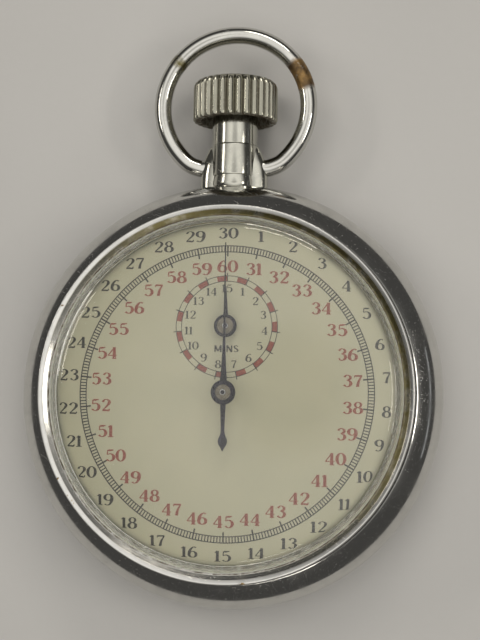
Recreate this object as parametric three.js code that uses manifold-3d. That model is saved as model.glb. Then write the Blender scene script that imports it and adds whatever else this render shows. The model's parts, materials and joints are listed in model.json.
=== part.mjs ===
// A mechanical pocket stopwatch with one crown: chromed case, pin-lever movement,
// 30 second sweep hand and 15 minute register.
// Millimetres. The watch lies on its back: +Z comes out of the dial, +Y points at the
// crown and the 60 mark, +X at the 7.5 second mark. The origin is the middle of the flat back.
import * as THREE from "three";
import { mergeVertices } from "three/addons/utils/BufferGeometryUtils.js";
import Module from "manifold-3d";

const wasm = await Module();
wasm.setup();

// ---- Driving dimensions -------------------------------------------------------------
const CASE_R = 26.6; // widest part of the case band
const CASE_INNER_R = 21.6;
const CASE_TOP_Z = 9.5;
const SHELF_R = 20.4; // shelf that the movement rests on
const COVER_R = 24.85;
const COVER_WALL = 0.8;
const BACK_DEPTH = 0.8; // the flat back lies this far under the height 0 used below
const BEZEL_R = 23.35;
const BEZEL_TOP_Z = 12;
const CRYSTAL_R = 21.85;
const CRYSTAL_TOP_Z = 15.3;
const CRYSTAL_WALL = 0.7;
const ROUND = 32; // facets round the large rings

const DIAL_R = 21.7;
const DIAL_Z = 9.2;
const DIAL_THICK = 0.4;
const REGISTER_Y = 8.15; // minute register, above the middle

const AXIS_Z = 4.9; // height of the pendant, stem and bow pivots
const NECK_SEAM_Y = 31.6;
const SLEEVE_R = 2.93;
const SLEEVE_TOP_Y = 36.1;
const NECK_R = 3.02;
const NECK_SEAT_Y = 25.5; // end of the neck's tube, rounded off above the band
const NECK_ROUND = 1.2;
const EAR_HALF_WIDTH = 4.3; // the flattened skirt round the tube that holds the bow
const EAR_FLATNESS = 0.4; // its thickness over its width
const SPIGOT_R = 2.1;
const NECK_BORE_R = 1.2;
const BOW_PIVOT_Y = 28.9;
const BOW_CENTRE_Y = 36.85;
const BOW_R = 9.5; // centre line of the wire
const BOW_WIRE_R = 1;
const BOW_GAP = 51; // degrees below the middle where each side leaves the circle
const SOCKET_R = 1.16;
const CROWN_R = 5.4;
const CROWN_BOTTOM_Y = 34.8;
const CROWN_TOP_Y = 40.15;
const CROWN_RIBS = 30;
const CROWN_TRAVEL = 1.5;
const STEM_R = 1;
const STEM_SQUARE = 1.2;
const STEM_END_Y = 17.8;

const BACK_PLATE_Z = 2.6;
const BACK_PLATE_THICK = 0.8;
const PLATE_R = 21.2; // pillar plate
const BACK_PLATE_R = 20.2;
const PILLAR_PLATE_Z = 6.6;
const PILLAR_PLATE_THICK = 0.9;
const WHEEL_THICK = 0.4;
const ARBOR_R = 0.35;
const ARBOR_HOLE_R = 0.45;

// Levels between the plates, and on the dial side of the pillar plate.
const BARREL_TOOTH_Z = 3.7;
const FOURTH_Z = 4.4;
const THIRD_Z = 5.1;
const SECOND_Z = 5.8;
const RATCHET_Z = 1.7;
const RATCHET_THICK = 0.7;
const WORKS_LOW_Z = 7.7;
const WORKS_HIGH_Z = 8.3;

// Tooth counts and modules.
const RATCHET = { teeth: 30, module: 10 / 24 };
const CROWN_WHEEL = { teeth: 24, module: 10 / 24 };
const WINDING_PINION_TEETH = 12;
const WINDING_PINION_R = 2.9;
const BARREL = { teeth: 48, module: 0.304 };
const SECOND_PINION = { teeth: 6, module: 0.304 };
const SECOND = { teeth: 36, module: 1 / 3 };
const THIRD_PINION = { teeth: 6, module: 1 / 3 };
const THIRD = { teeth: 36, module: 0.318 };
const SWEEP_PINION = { teeth: 6, module: 0.318 };
const FOURTH = { teeth: 60, module: 0.2 };
const ESCAPE_PINION = { teeth: 6, module: 0.2 };
const RECORD_PINION = { teeth: 6, module: 4 / 15 };
const RECORD_WHEEL = { teeth: 30, module: 4 / 15 };
const MINUTE_PINION = { teeth: 6, module: 4 / 15 };
const MINUTE_WHEEL = { teeth: 36, module: 4 / 15 };
const ESCAPE_TEETH = 15;
const ESCAPE_R = 3;
const MESH_PLAY = 0.05; // added to every centre distance

// ---- Places of the arbors, seen from the dial ---------------------------------------
const pitch = (gear) => (gear.teeth * gear.module) / 2;
const apart = (a, b) => pitch(a) + pitch(b) + MESH_PLAY;
const vec = (x, y) => new THREE.Vector2(x, y);
const polar = (from, radius, degrees) => {
  const turn = THREE.MathUtils.degToRad(degrees);
  return vec(from.x + radius * Math.cos(turn), from.y + radius * Math.sin(turn));
};
// The point at distance ra from a and rb from b, on the left of the way from a to b.
const corner = (a, ra, b, rb) => {
  const d = a.distanceTo(b);
  const along = (ra * ra - rb * rb + d * d) / (2 * d);
  const off = Math.sqrt(ra * ra - along * along);
  const u = b.clone().sub(a).divideScalar(d);
  return vec(a.x + u.x * along - u.y * off, a.y + u.y * along + u.x * off);
};
const SWEEP_AT = vec(0, 0);
const MINUTE_AT = vec(0, REGISTER_Y);
const CROWN_WHEEL_AT = vec(0, 15);
const BARREL_AT = polar(CROWN_WHEEL_AT, apart(CROWN_WHEEL, RATCHET), 212.4);
const SECOND_AT = polar(BARREL_AT, apart(BARREL, SECOND_PINION), -75);
const THIRD_AT = corner(SWEEP_AT, apart(THIRD, SWEEP_PINION), SECOND_AT, apart(SECOND, THIRD_PINION));
const ESCAPE_LINE = -35; // the escape wheel, lever and balance stand on one line
const ESCAPE_AT = polar(SWEEP_AT, apart(FOURTH, ESCAPE_PINION), ESCAPE_LINE);
const LEVER_LINE = -40.5;
const LEVER_AT = polar(ESCAPE_AT, 4.1, LEVER_LINE);
const BALANCE_AT = polar(ESCAPE_AT, 8.9, LEVER_LINE);
const RECORD_AT = corner(MINUTE_AT, apart(MINUTE_PINION, MINUTE_WHEEL), SWEEP_AT,
  apart(RECORD_PINION, RECORD_WHEEL));
const CLICK_AT = polar(BARREL_AT, 8.2, 245);
const COLUMN_AT = vec(9, 12.5);
const OPERATING_PIVOT = vec(6.5, 18);
const BRAKE_PIVOT = vec(17, -2);
const HAMMER_PIVOT = vec(-3, -5.5);
const COCK_FOOT = vec(5, -16.6);
const COCK_LINE = THREE.MathUtils.radToDeg(COCK_FOOT.clone().sub(BALANCE_AT).angle());
const PILLARS = [polar(SWEEP_AT, 18.4, 52), polar(SWEEP_AT, 18.6, 192), polar(SWEEP_AT, 18.4, 254)];
const CASE_SCREWS = [polar(SWEEP_AT, 19.45, 8), polar(SWEEP_AT, 19.45, 214)];
const DIAL_FEET = [polar(SWEEP_AT, 18.6, 25), polar(SWEEP_AT, 18.6, 205)];

// ---- Finishes -----------------------------------------------------------------------
const finish = (color, roughness, metalness) =>
  new THREE.MeshStandardMaterial({ color, roughness, metalness });
const chrome = () => finish("#b9b7ad", 0.18, 1);
const nickel = () => finish("#a9a69a", 0.3, 1);
const brass = () => finish("#b8964f", 0.35, 1);
const steel = () => finish("#8d9094", 0.3, 1);
const bluedSteel = () => finish("#1f2638", 0.3, 1);
const cream = () => finish("#cdc8ae", 0.55, 0);
const acrylic = () => {
  const clear = finish("#e8ece8", 0.08, 0);
  clear.transparent = true;
  clear.opacity = 0.25;
  return clear;
};

// ---- Solids -------------------------------------------------------------------------
const watch = new THREE.Group();
const works = new THREE.Group();
works.position.z = BACK_DEPTH;
watch.add(works);

// A closed three.js geometry as a manifold solid whose faces point out.
function solid(geometry) {
  const bare = geometry.index ? geometry.toNonIndexed() : geometry.clone();
  const keep = new THREE.BufferGeometry();
  keep.setAttribute("position", bare.getAttribute("position"));
  const merged = mergeVertices(keep, 1e-4);
  const build = (triVerts) => new wasm.Manifold(new wasm.Mesh({
    numProp: 3,
    vertProperties: merged.attributes.position.array,
    triVerts,
  }));
  const triangles = new Uint32Array(merged.index.array);
  const made = build(triangles);
  if (made.volume() > 0) return made;
  return build(triangles.reverse());
}

function add(name, shape, material) {
  const { vertProperties, triVerts } = shape.getMesh();
  const geometry = new THREE.BufferGeometry();
  geometry.setAttribute("position", new THREE.BufferAttribute(new Float32Array(vertProperties), 3));
  geometry.setIndex(new THREE.BufferAttribute(new Uint32Array(triVerts), 1));
  geometry.computeVertexNormals();
  const mesh = new THREE.Mesh(geometry, material);
  mesh.name = name;
  works.add(mesh);
}

// A flat shape, raised from z by the thickness.
function slab(shape, z, thick, curveSegments = 12) {
  const geometry = new THREE.ExtrudeGeometry(shape, { depth: thick, bevelEnabled: false, curveSegments });
  return solid(geometry.translate(0, 0, z));
}

// A [radius, height] outline turned about Z.
function turned(outline, segments = ROUND) {
  const points = outline.map(([r, h]) => vec(r, h));
  return solid(new THREE.LatheGeometry(points, segments).rotateX(Math.PI / 2));
}

// The same, turned about the pendant's axis, which lies along Y.
function turnedOnStem(outline, segments = 18) {
  const points = outline.map(([r, h]) => vec(r, h));
  return solid(new THREE.LatheGeometry(points, segments).translate(0, 0, AXIS_Z));
}

function rod(at, radius, z0, z1, segments = 8) {
  return turned([[0, z0], [radius, z0], [radius, z1], [0, z1]], segments).translate([at.x, at.y, 0]);
}

function block(x0, x1, y0, y1, z0, z1) {
  const box = new THREE.BoxGeometry(x1 - x0, y1 - y0, z1 - z0);
  return solid(box.translate((x0 + x1) / 2, (y0 + y1) / 2, (z0 + z1) / 2));
}

// An outline turned about the pendant's axis, then pressed flat to a rounded oblong section.
function flattened(outline, flatness, segments = 28) {
  const geometry = new THREE.LatheGeometry(outline.map(([r, h]) => vec(r, h)), segments);
  const points = geometry.attributes.position;
  const squared = (part) => Math.sign(part) * Math.abs(part) ** (2 / 3);
  for (let i = 0; i < points.count; i += 1) {
    const size = Math.hypot(points.getX(i), points.getZ(i)) || 1;
    points.setX(i, size * squared(points.getX(i) / size));
    points.setZ(i, size * flatness * squared(points.getZ(i) / size));
  }
  return solid(geometry.translate(0, 0, AXIS_Z));
}

// A rod along X.
function crossRod(x0, x1, y, z, radius, segments = 10) {
  const geometry = new THREE.CylinderGeometry(radius, radius, x1 - x0, segments).rotateZ(Math.PI / 2);
  return solid(geometry.translate((x0 + x1) / 2, y, z));
}

// A bar with round ends, of the two end radii.
function bar(a, b, z, thick, ra, rb = ra) {
  const turn = Math.atan2(b.y - a.y, b.x - a.x);
  const lean = Math.acos((ra - rb) / a.distanceTo(b));
  const shape = new THREE.Shape();
  shape.absarc(a.x, a.y, ra, turn + lean, turn - lean + 2 * Math.PI, false);
  shape.absarc(b.x, b.y, rb, turn - lean, turn + lean, false);
  return slab(shape, z, thick, 3);
}

// Bars along a chain of [point, half width] stations, joined.
function chain(stations, z, thick) {
  return stations.slice(1).reduce((made, [point, half], i) => {
    const [last, lastHalf] = stations[i];
    const link = bar(last, point, z, thick, lastHalf, half);
    return made ? made.add(link) : link;
  }, null);
}

// ---- Gears --------------------------------------------------------------------------
// Pinions and winding wheels have square-topped teeth, the fine wheels pointed ones.
function toothedShape({ teeth, module }, phase) {
  const step = (2 * Math.PI) / teeth;
  const tipR = pitch({ teeth, module }) + 0.85 * module;
  const rootR = pitch({ teeth, module }) - 1.2 * module;
  const square = [[-0.3, rootR], [-0.1, tipR], [0.1, tipR], [0.3, rootR]];
  const pointed = [[-0.5, rootR], [0, tipR]];
  const tooth = teeth < 30 ? square : pointed;
  return new THREE.Shape(Array.from({ length: teeth }, (_, i) => tooth
    .map(([part, r]) => polar(vec(0, 0), r, THREE.MathUtils.radToDeg(phase + (i + part) * step))))
    .flat());
}

function ring(radius, segments, at = vec(0, 0)) {
  return Array.from({ length: segments }, (_, i) => polar(at, radius, (360 * i) / segments));
}

const roundHole = (radius, segments = 8) => new THREE.Path(ring(radius, segments));

// Windows that leave the wheel its spokes.
function windows(count, inner, outer, spoke) {
  return Array.from({ length: count }, (_, i) => {
    const from = (2 * Math.PI * i) / count;
    const to = (2 * Math.PI * (i + 1)) / count;
    const path = new THREE.Path();
    const near = spoke / 2 / inner;
    const far = spoke / 2 / outer;
    path.absarc(0, 0, outer, from + far, to - far, false);
    path.absarc(0, 0, inner, to - near, from + near, true);
    path.closePath();
    return path;
  });
}

// A toothed wheel on its arbor, pierced into spokes when spokes is more than 0.
function wheel(gear, at, z, thick, phase, { bore = 0, spokes = 0, rim = 0.7, hub = 1 } = {}) {
  const shape = toothedShape(gear, phase);
  if (bore) shape.holes.push(roundHole(bore));
  if (spokes) {
    const outer = pitch(gear) - 1.2 * gear.module - rim;
    shape.holes.push(...windows(spokes, hub, outer, 0.55));
  }
  return slab(shape, z, thick, 2).translate([at.x, at.y, 0]);
}

// The phase that puts a gap of the second wheel on a tooth of the first.
function meshPhase(a, phaseA, gearA, b, gearB) {
  const line = Math.atan2(b.y - a.y, b.x - a.x);
  const ahead = line - phaseA;
  return line + Math.PI + (ahead * gearA.teeth) / gearB.teeth + Math.PI / gearB.teeth;
}

// An arbor with its pinion: pivots through both plates, leaves at one level.
function pinionArbor(gear, at, phase, z0, z1, leafZ, leafThick) {
  const arbor = rod(at, ARBOR_R, z0, z1, 8);
  return arbor.add(wheel(gear, at, leafZ, leafThick, phase));
}

function screw(at, shankR, headR, headZ0, headZ1, tipZ, slot = 0.25) {
  const down = tipZ < headZ0;
  const shank = down ? rod(at, shankR, tipZ, headZ1) : rod(at, shankR, headZ0, tipZ);
  const head = rod(at, headR, headZ0, headZ1, 12);
  const slotZ = down ? [headZ1 - 0.2, headZ1 + 1] : [headZ0 - 1, headZ0 + 0.2];
  const cut = block(at.x - headR - 1, at.x + headR + 1, at.y - slot / 2, at.y + slot / 2, ...slotZ);
  return shank.add(head).subtract(cut);
}

// ---- Case ---------------------------------------------------------------------------
// Outside of the case band from the rear cover's seat up to the bezel.
function bandOutline(grow = 0) {
  const points = [[24.9 + grow, 2.85]];
  const steps = 6;
  for (let i = 1; i <= steps; i += 1) {
    const t = i / steps;
    const low = CASE_R - 1.7 * (1 - Math.min(1, t / 0.4)) ** 2;
    const high = CASE_R - 3.5 * Math.max(0, (t - 0.4) / 0.6) ** 2.2;
    points.push([Math.min(low, high) + grow, 2.85 + (CASE_TOP_Z - 2.85) * t]);
  }
  return points;
}

function caseMiddle() {
  const band = turned([
    [CASE_INNER_R, 1.75], [23.9, 1.75], [23.9, 2.75], ...bandOutline(),
    [22.35, CASE_TOP_Z], [22.35, 9.95], [22.05, 9.95], [22.05, CASE_TOP_Z], [21.85, CASE_TOP_Z],
    [21.85, 9.12], [21.4, 9.12], [21.4, 6.5], [SHELF_R, 6.5], [SHELF_R, 5.7],
    [CASE_INNER_R, 5.7], [CASE_INNER_R, 1.75],
  ]);
  const pinionGap = block(-3.3, 3.3, 18, 21.2, 5, 7);
  const neckHole = turnedOnStem([[0, 18], [SPIGOT_R + 0.12, 18], [SPIGOT_R + 0.12, 30], [0, 30]]);
  return band.subtract(neckHole).subtract(pinionGap);
}

function rearCover() {
  const inner = COVER_R - COVER_WALL;
  const back = -BACK_DEPTH;
  return turned([
    [0, back], [18.5, back], [21.8, back + 0.4], [23.7, 0.5], [24.6, 1.6], [COVER_R, 2.7],
    [inner, 2.7], [inner, 1.9], [23.7, 1.3], [22.7, 0.6], [20.6, 0.05 + back + COVER_WALL],
    [18.2, back + COVER_WALL], [0, back + COVER_WALL],
  ]);
}

// A drum that draws in to a round crest, and inside it a cone that slopes to the crystal.
function bezel() {
  const top = BEZEL_TOP_Z;
  return turned([
    [22.5, 9.58], [23.15, 9.58], [BEZEL_R, 9.8], [BEZEL_R, 10.4], [23.22, top - 0.7],
    [23.02, top - 0.15], [22.85, top], [22.7, top - 0.05], [22.25, top - 0.27], [22.1, top - 0.42], [21.75, top - 0.65],
    [21.95, top - 0.8], [21.95, 10.5], [21.4, 10.5], [21.4, 9.68], [21.95, 9.68], [21.95, 10.05],
    [22.45, 10.05], [22.5, 9.58],
  ]);
}

// A domed shell with a short shoulder at its edge.
function crystal() {
  const shoulder = 0.2;
  const sharpness = 80;
  const dome = (top, edgeR, edgeZ, steps) => Array.from({ length: steps + 1 }, (_, i) => {
    const t = Math.sin((Math.PI * i) / 2 / steps);
    const fall = (1 - shoulder) * t ** 2 + shoulder * t ** sharpness;
    return [edgeR * t, top - (top - edgeZ) * fall];
  });
  const outside = dome(CRYSTAL_TOP_Z, 21.6, 11.35, 7);
  const inside = dome(CRYSTAL_TOP_Z - CRYSTAL_WALL, 20.95, 10.95, 6).reverse();
  return turned([...outside, [CRYSTAL_R, 11.2], [CRYSTAL_R, 10.56], [20.95, 10.56], ...inside]);
}

function dial() {
  const shape = new THREE.Shape(ring(DIAL_R, ROUND));
  shape.holes.push(roundHole(0.9, 12), new THREE.Path(ring(0.8, 12, MINUTE_AT)));
  const plate = slab(shape, DIAL_Z, DIAL_THICK);
  return DIAL_FEET.reduce(
    (made, foot) => made.add(rod(foot, 0.45, 6.9, DIAL_Z + DIAL_THICK / 2, 8)), plate);
}

// ---- Pendant, crown and bow -----------------------------------------------------------
// A tube with a flattened skirt whose two edges are the ears, seated on the band and
// located by a spigot.
function pendantNeck() {
  const tube = turnedOnStem([
    [NECK_BORE_R, NECK_SEAT_Y], [NECK_R - NECK_ROUND, NECK_SEAT_Y],
    [NECK_R - 0.4 * NECK_ROUND, NECK_SEAT_Y + 0.2 * NECK_ROUND],
    [NECK_R, NECK_SEAT_Y + NECK_ROUND], [NECK_R, NECK_SEAM_Y], [NECK_BORE_R, NECK_SEAM_Y],
    [NECK_BORE_R, NECK_SEAT_Y],
  ]);
  const wide = EAR_HALF_WIDTH;
  const edge = [[0, -7.5], [wide, -7.5], [wide, -4.8], [wide - 0.05, -3.6], [wide - 0.25, -2.3],
    [wide - 0.65, -1.2], [wide - 1, -0.4], [2.9, 0], [0, 0]];
  const ears = flattened(edge.map(([x, down]) => [x, NECK_SEAM_Y + down]), EAR_FLATNESS);
  const band = turned([[0, -1], [24.96, -1], ...bandOutline(0.06), [0, CASE_TOP_Z]]);
  const spigot = turnedOnStem([
    [NECK_BORE_R, 22], [SPIGOT_R, 22], [SPIGOT_R, 28], [NECK_BORE_R, 28], [NECK_BORE_R, 22],
  ]);
  const reach = 6;
  const sockets = crossRod(2.6, reach, BOW_PIVOT_Y, AXIS_Z, SOCKET_R)
    .add(crossRod(-reach, -2.6, BOW_PIVOT_Y, AXIS_Z, SOCKET_R));
  const bore = turnedOnStem([[0, 20], [NECK_BORE_R, 20], [NECK_BORE_R, 33], [0, 33]]);
  return tube.add(ears).subtract(band).add(spigot).subtract(sockets).subtract(bore);
}

function pendantSleeve() {
  const low = NECK_SEAM_Y + 0.04;
  return turnedOnStem([
    [1.6, low], [SLEEVE_R, low], [SLEEVE_R, SLEEVE_TOP_Y - 0.2], [SLEEVE_R - 0.2, SLEEVE_TOP_Y],
    [1.6, SLEEVE_TOP_Y], [1.6, low],
  ]);
}

// Wire ring whose two ends turn inwards into the neck's sockets.
function bow() {
  const gap = THREE.MathUtils.degToRad(BOW_GAP);
  const points = [];
  const arcSteps = 16;
  for (let i = 0; i <= arcSteps; i += 1) {
    const turn = -gap + ((Math.PI + 2 * gap) * i) / arcSteps;
    const x = BOW_R * Math.cos(turn);
    points.push(new THREE.Vector3(x, BOW_CENTRE_Y + BOW_R * Math.sin(turn), AXIS_Z));
  }
  const end = (side) => [2.85, 3.6, 4.4]
    .map((x) => new THREE.Vector3(side * x, BOW_PIVOT_Y, AXIS_Z));
  const path = new THREE.CatmullRomCurve3([...end(1), ...points, ...end(-1).reverse()]);
  const section = new THREE.Shape();
  const sides = 8;
  for (let i = 0; i < sides; i += 1) {
    const turn = (2 * Math.PI * i) / sides;
    section[i ? "lineTo" : "moveTo"](BOW_WIRE_R * Math.cos(turn), BOW_WIRE_R * Math.sin(turn));
  }
  return solid(new THREE.ExtrudeGeometry(section, { steps: 36, extrudePath: path }));
}

function crown() {
  const ribs = new THREE.Shape();
  for (let i = 0; i < 2 * CROWN_RIBS; i += 1) {
    const turn = (Math.PI * i) / CROWN_RIBS;
    const r = i % 2 ? CROWN_R - 0.4 : CROWN_R;
    ribs[i ? "lineTo" : "moveTo"](r * Math.cos(turn), r * Math.sin(turn));
  }
  const drum = slab(ribs, -CROWN_TOP_Y - 1, 8).rotate([90, 0, 0]).translate([0, 0, AXIS_Z]);
  const outline = turnedOnStem([
    [0, CROWN_BOTTOM_Y], [5, CROWN_BOTTOM_Y], [5.6, CROWN_BOTTOM_Y + 0.45],
    [5.6, CROWN_TOP_Y - 1], [5, CROWN_TOP_Y - 0.35],
    [4, CROWN_TOP_Y], [0, CROWN_TOP_Y],
  ]);
  const recessY = CROWN_BOTTOM_Y + 1.2;
  const roofY = SLEEVE_TOP_Y + CROWN_TRAVEL + 0.5;
  const hollow = turnedOnStem([
    [0, 34], [4.3, 34], [4.3, recessY], [3.1, recessY], [3.1, roofY], [0, roofY],
  ]);
  const stemHole = turnedOnStem([[0, 38], [STEM_R + 0.05, 38], [STEM_R + 0.05, 39.5], [0, 39.5]]);
  return drum.intersect(outline).subtract(hollow).subtract(stemHole);
}

function crownStem() {
  const shoulder = 22.3;
  const round = turnedOnStem([
    [0, shoulder], [STEM_R, shoulder], [STEM_R, 39.4], [0, 39.4],
  ], 16);
  const half = STEM_SQUARE / 2;
  return round.add(block(-half, half, STEM_END_Y, shoulder + 0.1, AXIS_Z - half, AXIS_Z + half));
}

function windingPinion() {
  const gear = { teeth: WINDING_PINION_TEETH, module: 0.42 };
  const tall = WINDING_PINION_R - 0.85 * gear.module;
  const shape = toothedShape({ teeth: gear.teeth, module: (2 * tall) / gear.teeth }, -Math.PI / 2);
  const leaves = slab(shape, 0, 0.95);
  const half = STEM_SQUARE / 2 + 0.06;
  const pinion = leaves.subtract(block(-half, half, -half, half, -1, 2));
  return pinion.rotate([90, 0, 0]).translate([0, 20.6, AXIS_Z]);
}

// ---- Plates -------------------------------------------------------------------------
function disc(radius, z, thick) {
  return turned([[0, z], [radius, z], [radius, z + thick], [0, z + thick]]);
}

function drilled(plate, holes, z0, z1) {
  return holes.reduce((made, [at, radius]) => made.subtract(rod(at, radius, z0, z1, 8)), plate);
}

// The brake's pin reaches down through this slot.
const brakeSlot = () => bar(vec(11.8, -3.1), vec(12.3, -3.4), 6, 3, 0.75);

// Riveted stud that a lever of the start and return work turns on.
function leverStud(at) {
  return rod(at, 0.5, PILLAR_PLATE_Z + 0.3, WORKS_LOW_Z + WHEEL_THICK + 0.5, 12);
}

function pillarPlate() {
  const z = PILLAR_PLATE_Z;
  const notch = block(-3.4, 3.4, 15.4, 25, z - 1, z + 3);
  const plate = disc(PLATE_R, z, PILLAR_PLATE_THICK).subtract(notch).subtract(brakeSlot());
  const arbors = [SECOND_AT, THIRD_AT, SWEEP_AT, ESCAPE_AT, LEVER_AT, BALANCE_AT];
  const studs = [MINUTE_AT, RECORD_AT];
  const feet = DIAL_FEET.map((foot) => [foot, 0.55]);
  const shanks = CASE_SCREWS.map((at) => [at, 0.5]);
  const holes = [...arbors, ...studs].map((at) => [at, ARBOR_HOLE_R]);
  const pierced = drilled(plate, [...holes, ...feet, ...shanks, [BARREL_AT, 0.75]], z - 1, z + 3);
  return [OPERATING_PIVOT, BRAKE_PIVOT, HAMMER_PIVOT, COLUMN_AT]
    .reduce((made, at) => made.add(leverStud(at)), pierced);
}

function backPlate() {
  const z = BACK_PLATE_Z;
  const notch = block(-3.4, 3.4, 19.2, 25, z - 1, z + 3);
  const balanceCut = rod(BALANCE_AT, 5.2, z - 1, z + 3, 24);
  const cockCut = bar(BALANCE_AT, COCK_FOOT, z - 1, 4, 2.3, 2.7);
  const plate = disc(BACK_PLATE_R, z, BACK_PLATE_THICK);
  const open = plate.subtract(notch).subtract(balanceCut).subtract(cockCut);
  const arbors = [SECOND_AT, THIRD_AT, SWEEP_AT, ESCAPE_AT, LEVER_AT];
  const screws = [...PILLARS, CROWN_WHEEL_AT, CLICK_AT].map((at) => [at, 0.55]);
  const holes = arbors.map((at) => [at, ARBOR_HOLE_R]);
  const clear = CASE_SCREWS.map((at) => [at, 1.5]);
  return drilled(open, [...holes, ...screws, ...clear, [BARREL_AT, 1.3]], z - 1, z + 3);
}

function balanceCock() {
  const z = BACK_PLATE_Z;
  const arm = bar(BALANCE_AT, COCK_FOOT, z, BACK_PLATE_THICK, 1.7, 2.1);
  const foot = rod(COCK_FOOT, 2.1, z, PILLAR_PLATE_Z - 0.03, 16);
  const springStud = rod(polar(BALANCE_AT, 3.4, COCK_LINE), 0.27, z + 0.3, 4.25, 8);
  const made = arm.add(foot).add(springStud).subtract(rod(COCK_FOOT, 0.55, z - 1, 5.2));
  return made.subtract(rod(BALANCE_AT, ARBOR_HOLE_R, z - 1, z + 3));
}

function pillar(at) {
  const low = BACK_PLATE_Z + BACK_PLATE_THICK + 0.03;
  const high = PILLAR_PLATE_Z - 0.03;
  return turned([
    [0.6, low], [1.2, low], [1.2, high], [0, high], [0, low + 1.9], [0.6, low + 1.9], [0.6, low],
  ], 10).translate([at.x, at.y, 0]);
}

// ---- Winding work -------------------------------------------------------------------
const crownWheelPhase = Math.PI / 2 + Math.PI / CROWN_WHEEL.teeth;
const ratchetPhase = meshPhase(CROWN_WHEEL_AT, crownWheelPhase, CROWN_WHEEL, BARREL_AT, RATCHET);

function crownWheel() {
  return wheel(CROWN_WHEEL, CROWN_WHEEL_AT, RATCHET_Z, RATCHET_THICK, crownWheelPhase, { bore: 1.1 });
}

function crownWheelScrew() {
  const top = BACK_PLATE_Z + BACK_PLATE_THICK;
  const shoulder = rod(CROWN_WHEEL_AT, 1, RATCHET_Z - 0.1, BACK_PLATE_Z - 0.03, 12);
  return screw(CROWN_WHEEL_AT, 0.5, 1.9, RATCHET_Z - 0.55, RATCHET_Z - 0.08, top).add(shoulder);
}

function ratchetWheel() {
  const square = 0.66;
  const at = BARREL_AT;
  const hole = block(at.x - square, at.x + square, at.y - square, at.y + square, 0, 4);
  return wheel(RATCHET, at, RATCHET_Z, RATCHET_THICK, ratchetPhase).subtract(hole);
}

function ratchetScrew() {
  return screw(BARREL_AT, 0.35, 1.5, RATCHET_Z - 0.55, RATCHET_Z - 0.08, RATCHET_Z + 0.9);
}

function barrelArbor() {
  const { x, y } = BARREL_AT;
  const square = block(x - 0.6, x + 0.6, y - 0.6, y + 0.6, RATCHET_Z, BACK_PLATE_Z + 0.1);
  const core = turned([
    [0, 2.6], [1.2, 2.6], [1.2, 3.5], [0.8, 3.5], [0.8, 4.15], [1.3, 4.15], [1.3, 5.02], [0.8, 5.02],
    [0.8, 5.7], [0.65, 5.7], [0.65, 7.3], [0, 7.3],
  ], 14).translate([x, y, 0]);
  const hook = block(x + 1, x + 1.55, y - 0.2, y + 0.2, 4.3, 4.8);
  return core.add(square).add(hook).subtract(rod(BARREL_AT, 0.42, 1, 2.7));
}

function barrelDrum() {
  const at = BARREL_AT;
  const teeth = wheel(BARREL, at, BARREL_TOOTH_Z, WHEEL_THICK, barrelPhase, { bore: 0.95 });
  const wall = turned([
    [5.9, 3.8], [6.5, 3.8], [6.5, 5.3], [6.2, 5.3], [6.2, 5.08], [5.9, 5.08], [5.9, 3.8],
  ], 32).translate([at.x, at.y, 0]);
  return teeth.add(wall);
}

function barrelCover() {
  return turned([
    [0.9, 5.1], [6.12, 5.1], [6.12, 5.3], [0.9, 5.3], [0.9, 5.1],
  ], 32).translate([BARREL_AT.x, BARREL_AT.y, 0]);
}

// A strip wound in a flat spiral.
function spiral(at, inner, outer, turns, strip, z, tall, perTurn = 12, start = 0) {
  const steps = Math.round(turns * perTurn);
  const side = (half) => Array.from({ length: steps + 1 }, (_, i) => {
    const r = inner + ((outer - inner) * i) / steps + half;
    return polar(at, r, start + (360 * i) / perTurn);
  });
  const outline = [...side(strip / 2), ...side(-strip / 2).reverse()];
  return slab(new THREE.Shape(outline), z, tall);
}

const mainspring = () => spiral(BARREL_AT, 1.85, 5.7, 5, 0.22, 4.2, 0.8, 12, 20);

function click() {
  const pivot = CLICK_AT;
  const nose = polar(BARREL_AT, pitch(RATCHET) + 0.85 * RATCHET.module + 0.36, 228);
  const lever = chain([[pivot, 1], [nose, 0.28]], RATCHET_Z, 0.6);
  return lever.subtract(rod(pivot, 0.62, 0, 4));
}

function clickScrew() {
  return screw(CLICK_AT, 0.5, 1, RATCHET_Z - 0.5, RATCHET_Z - 0.06, BACK_PLATE_Z + 0.7);
}

// Bent wire that presses on the tail of the click, riveted to the back plate.
function clickSpring() {
  const low = RATCHET_Z + 0.1;
  const path = [[9, 190], [8.9, 204], [8.5, 218], [8, 229]].map(([r, turn]) => polar(BARREL_AT, r, turn));
  const wire = chain(path.map((point) => [point, 0.16]), low, 0.35);
  return wire.add(rod(path[0], 0.45, low, BACK_PLATE_Z - 0.03));
}

// ---- Going train ----------------------------------------------------------------------
const fourthPhase = 0;
const sweepPinionPhase = 0;
const escapePinionPhase = meshPhase(SWEEP_AT, fourthPhase, FOURTH, ESCAPE_AT, ESCAPE_PINION);
const thirdPhase = meshPhase(SWEEP_AT, sweepPinionPhase, SWEEP_PINION, THIRD_AT, THIRD);
const thirdPinionPhase = 0;
const secondPhase = meshPhase(THIRD_AT, thirdPinionPhase, THIRD_PINION, SECOND_AT, SECOND);
const secondPinionPhase = 0;
const barrelPhase = meshPhase(SECOND_AT, secondPinionPhase, SECOND_PINION, BARREL_AT, BARREL);
const recordPinionPhase = 0;
const recordPhase = meshPhase(SWEEP_AT, recordPinionPhase, RECORD_PINION, RECORD_AT, RECORD_WHEEL);
const minutePinionPhase = 0;
const minutePhase = meshPhase(RECORD_AT, minutePinionPhase, MINUTE_PINION, MINUTE_AT, MINUTE_WHEEL);
const FIT = 0.02; // clearance between a wheel and the arbor it is staked on

function stakedWheel(gear, at, z, phase, spokes) {
  return wheel(gear, at, z, WHEEL_THICK, phase, { bore: ARBOR_R + FIT, spokes });
}

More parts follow.
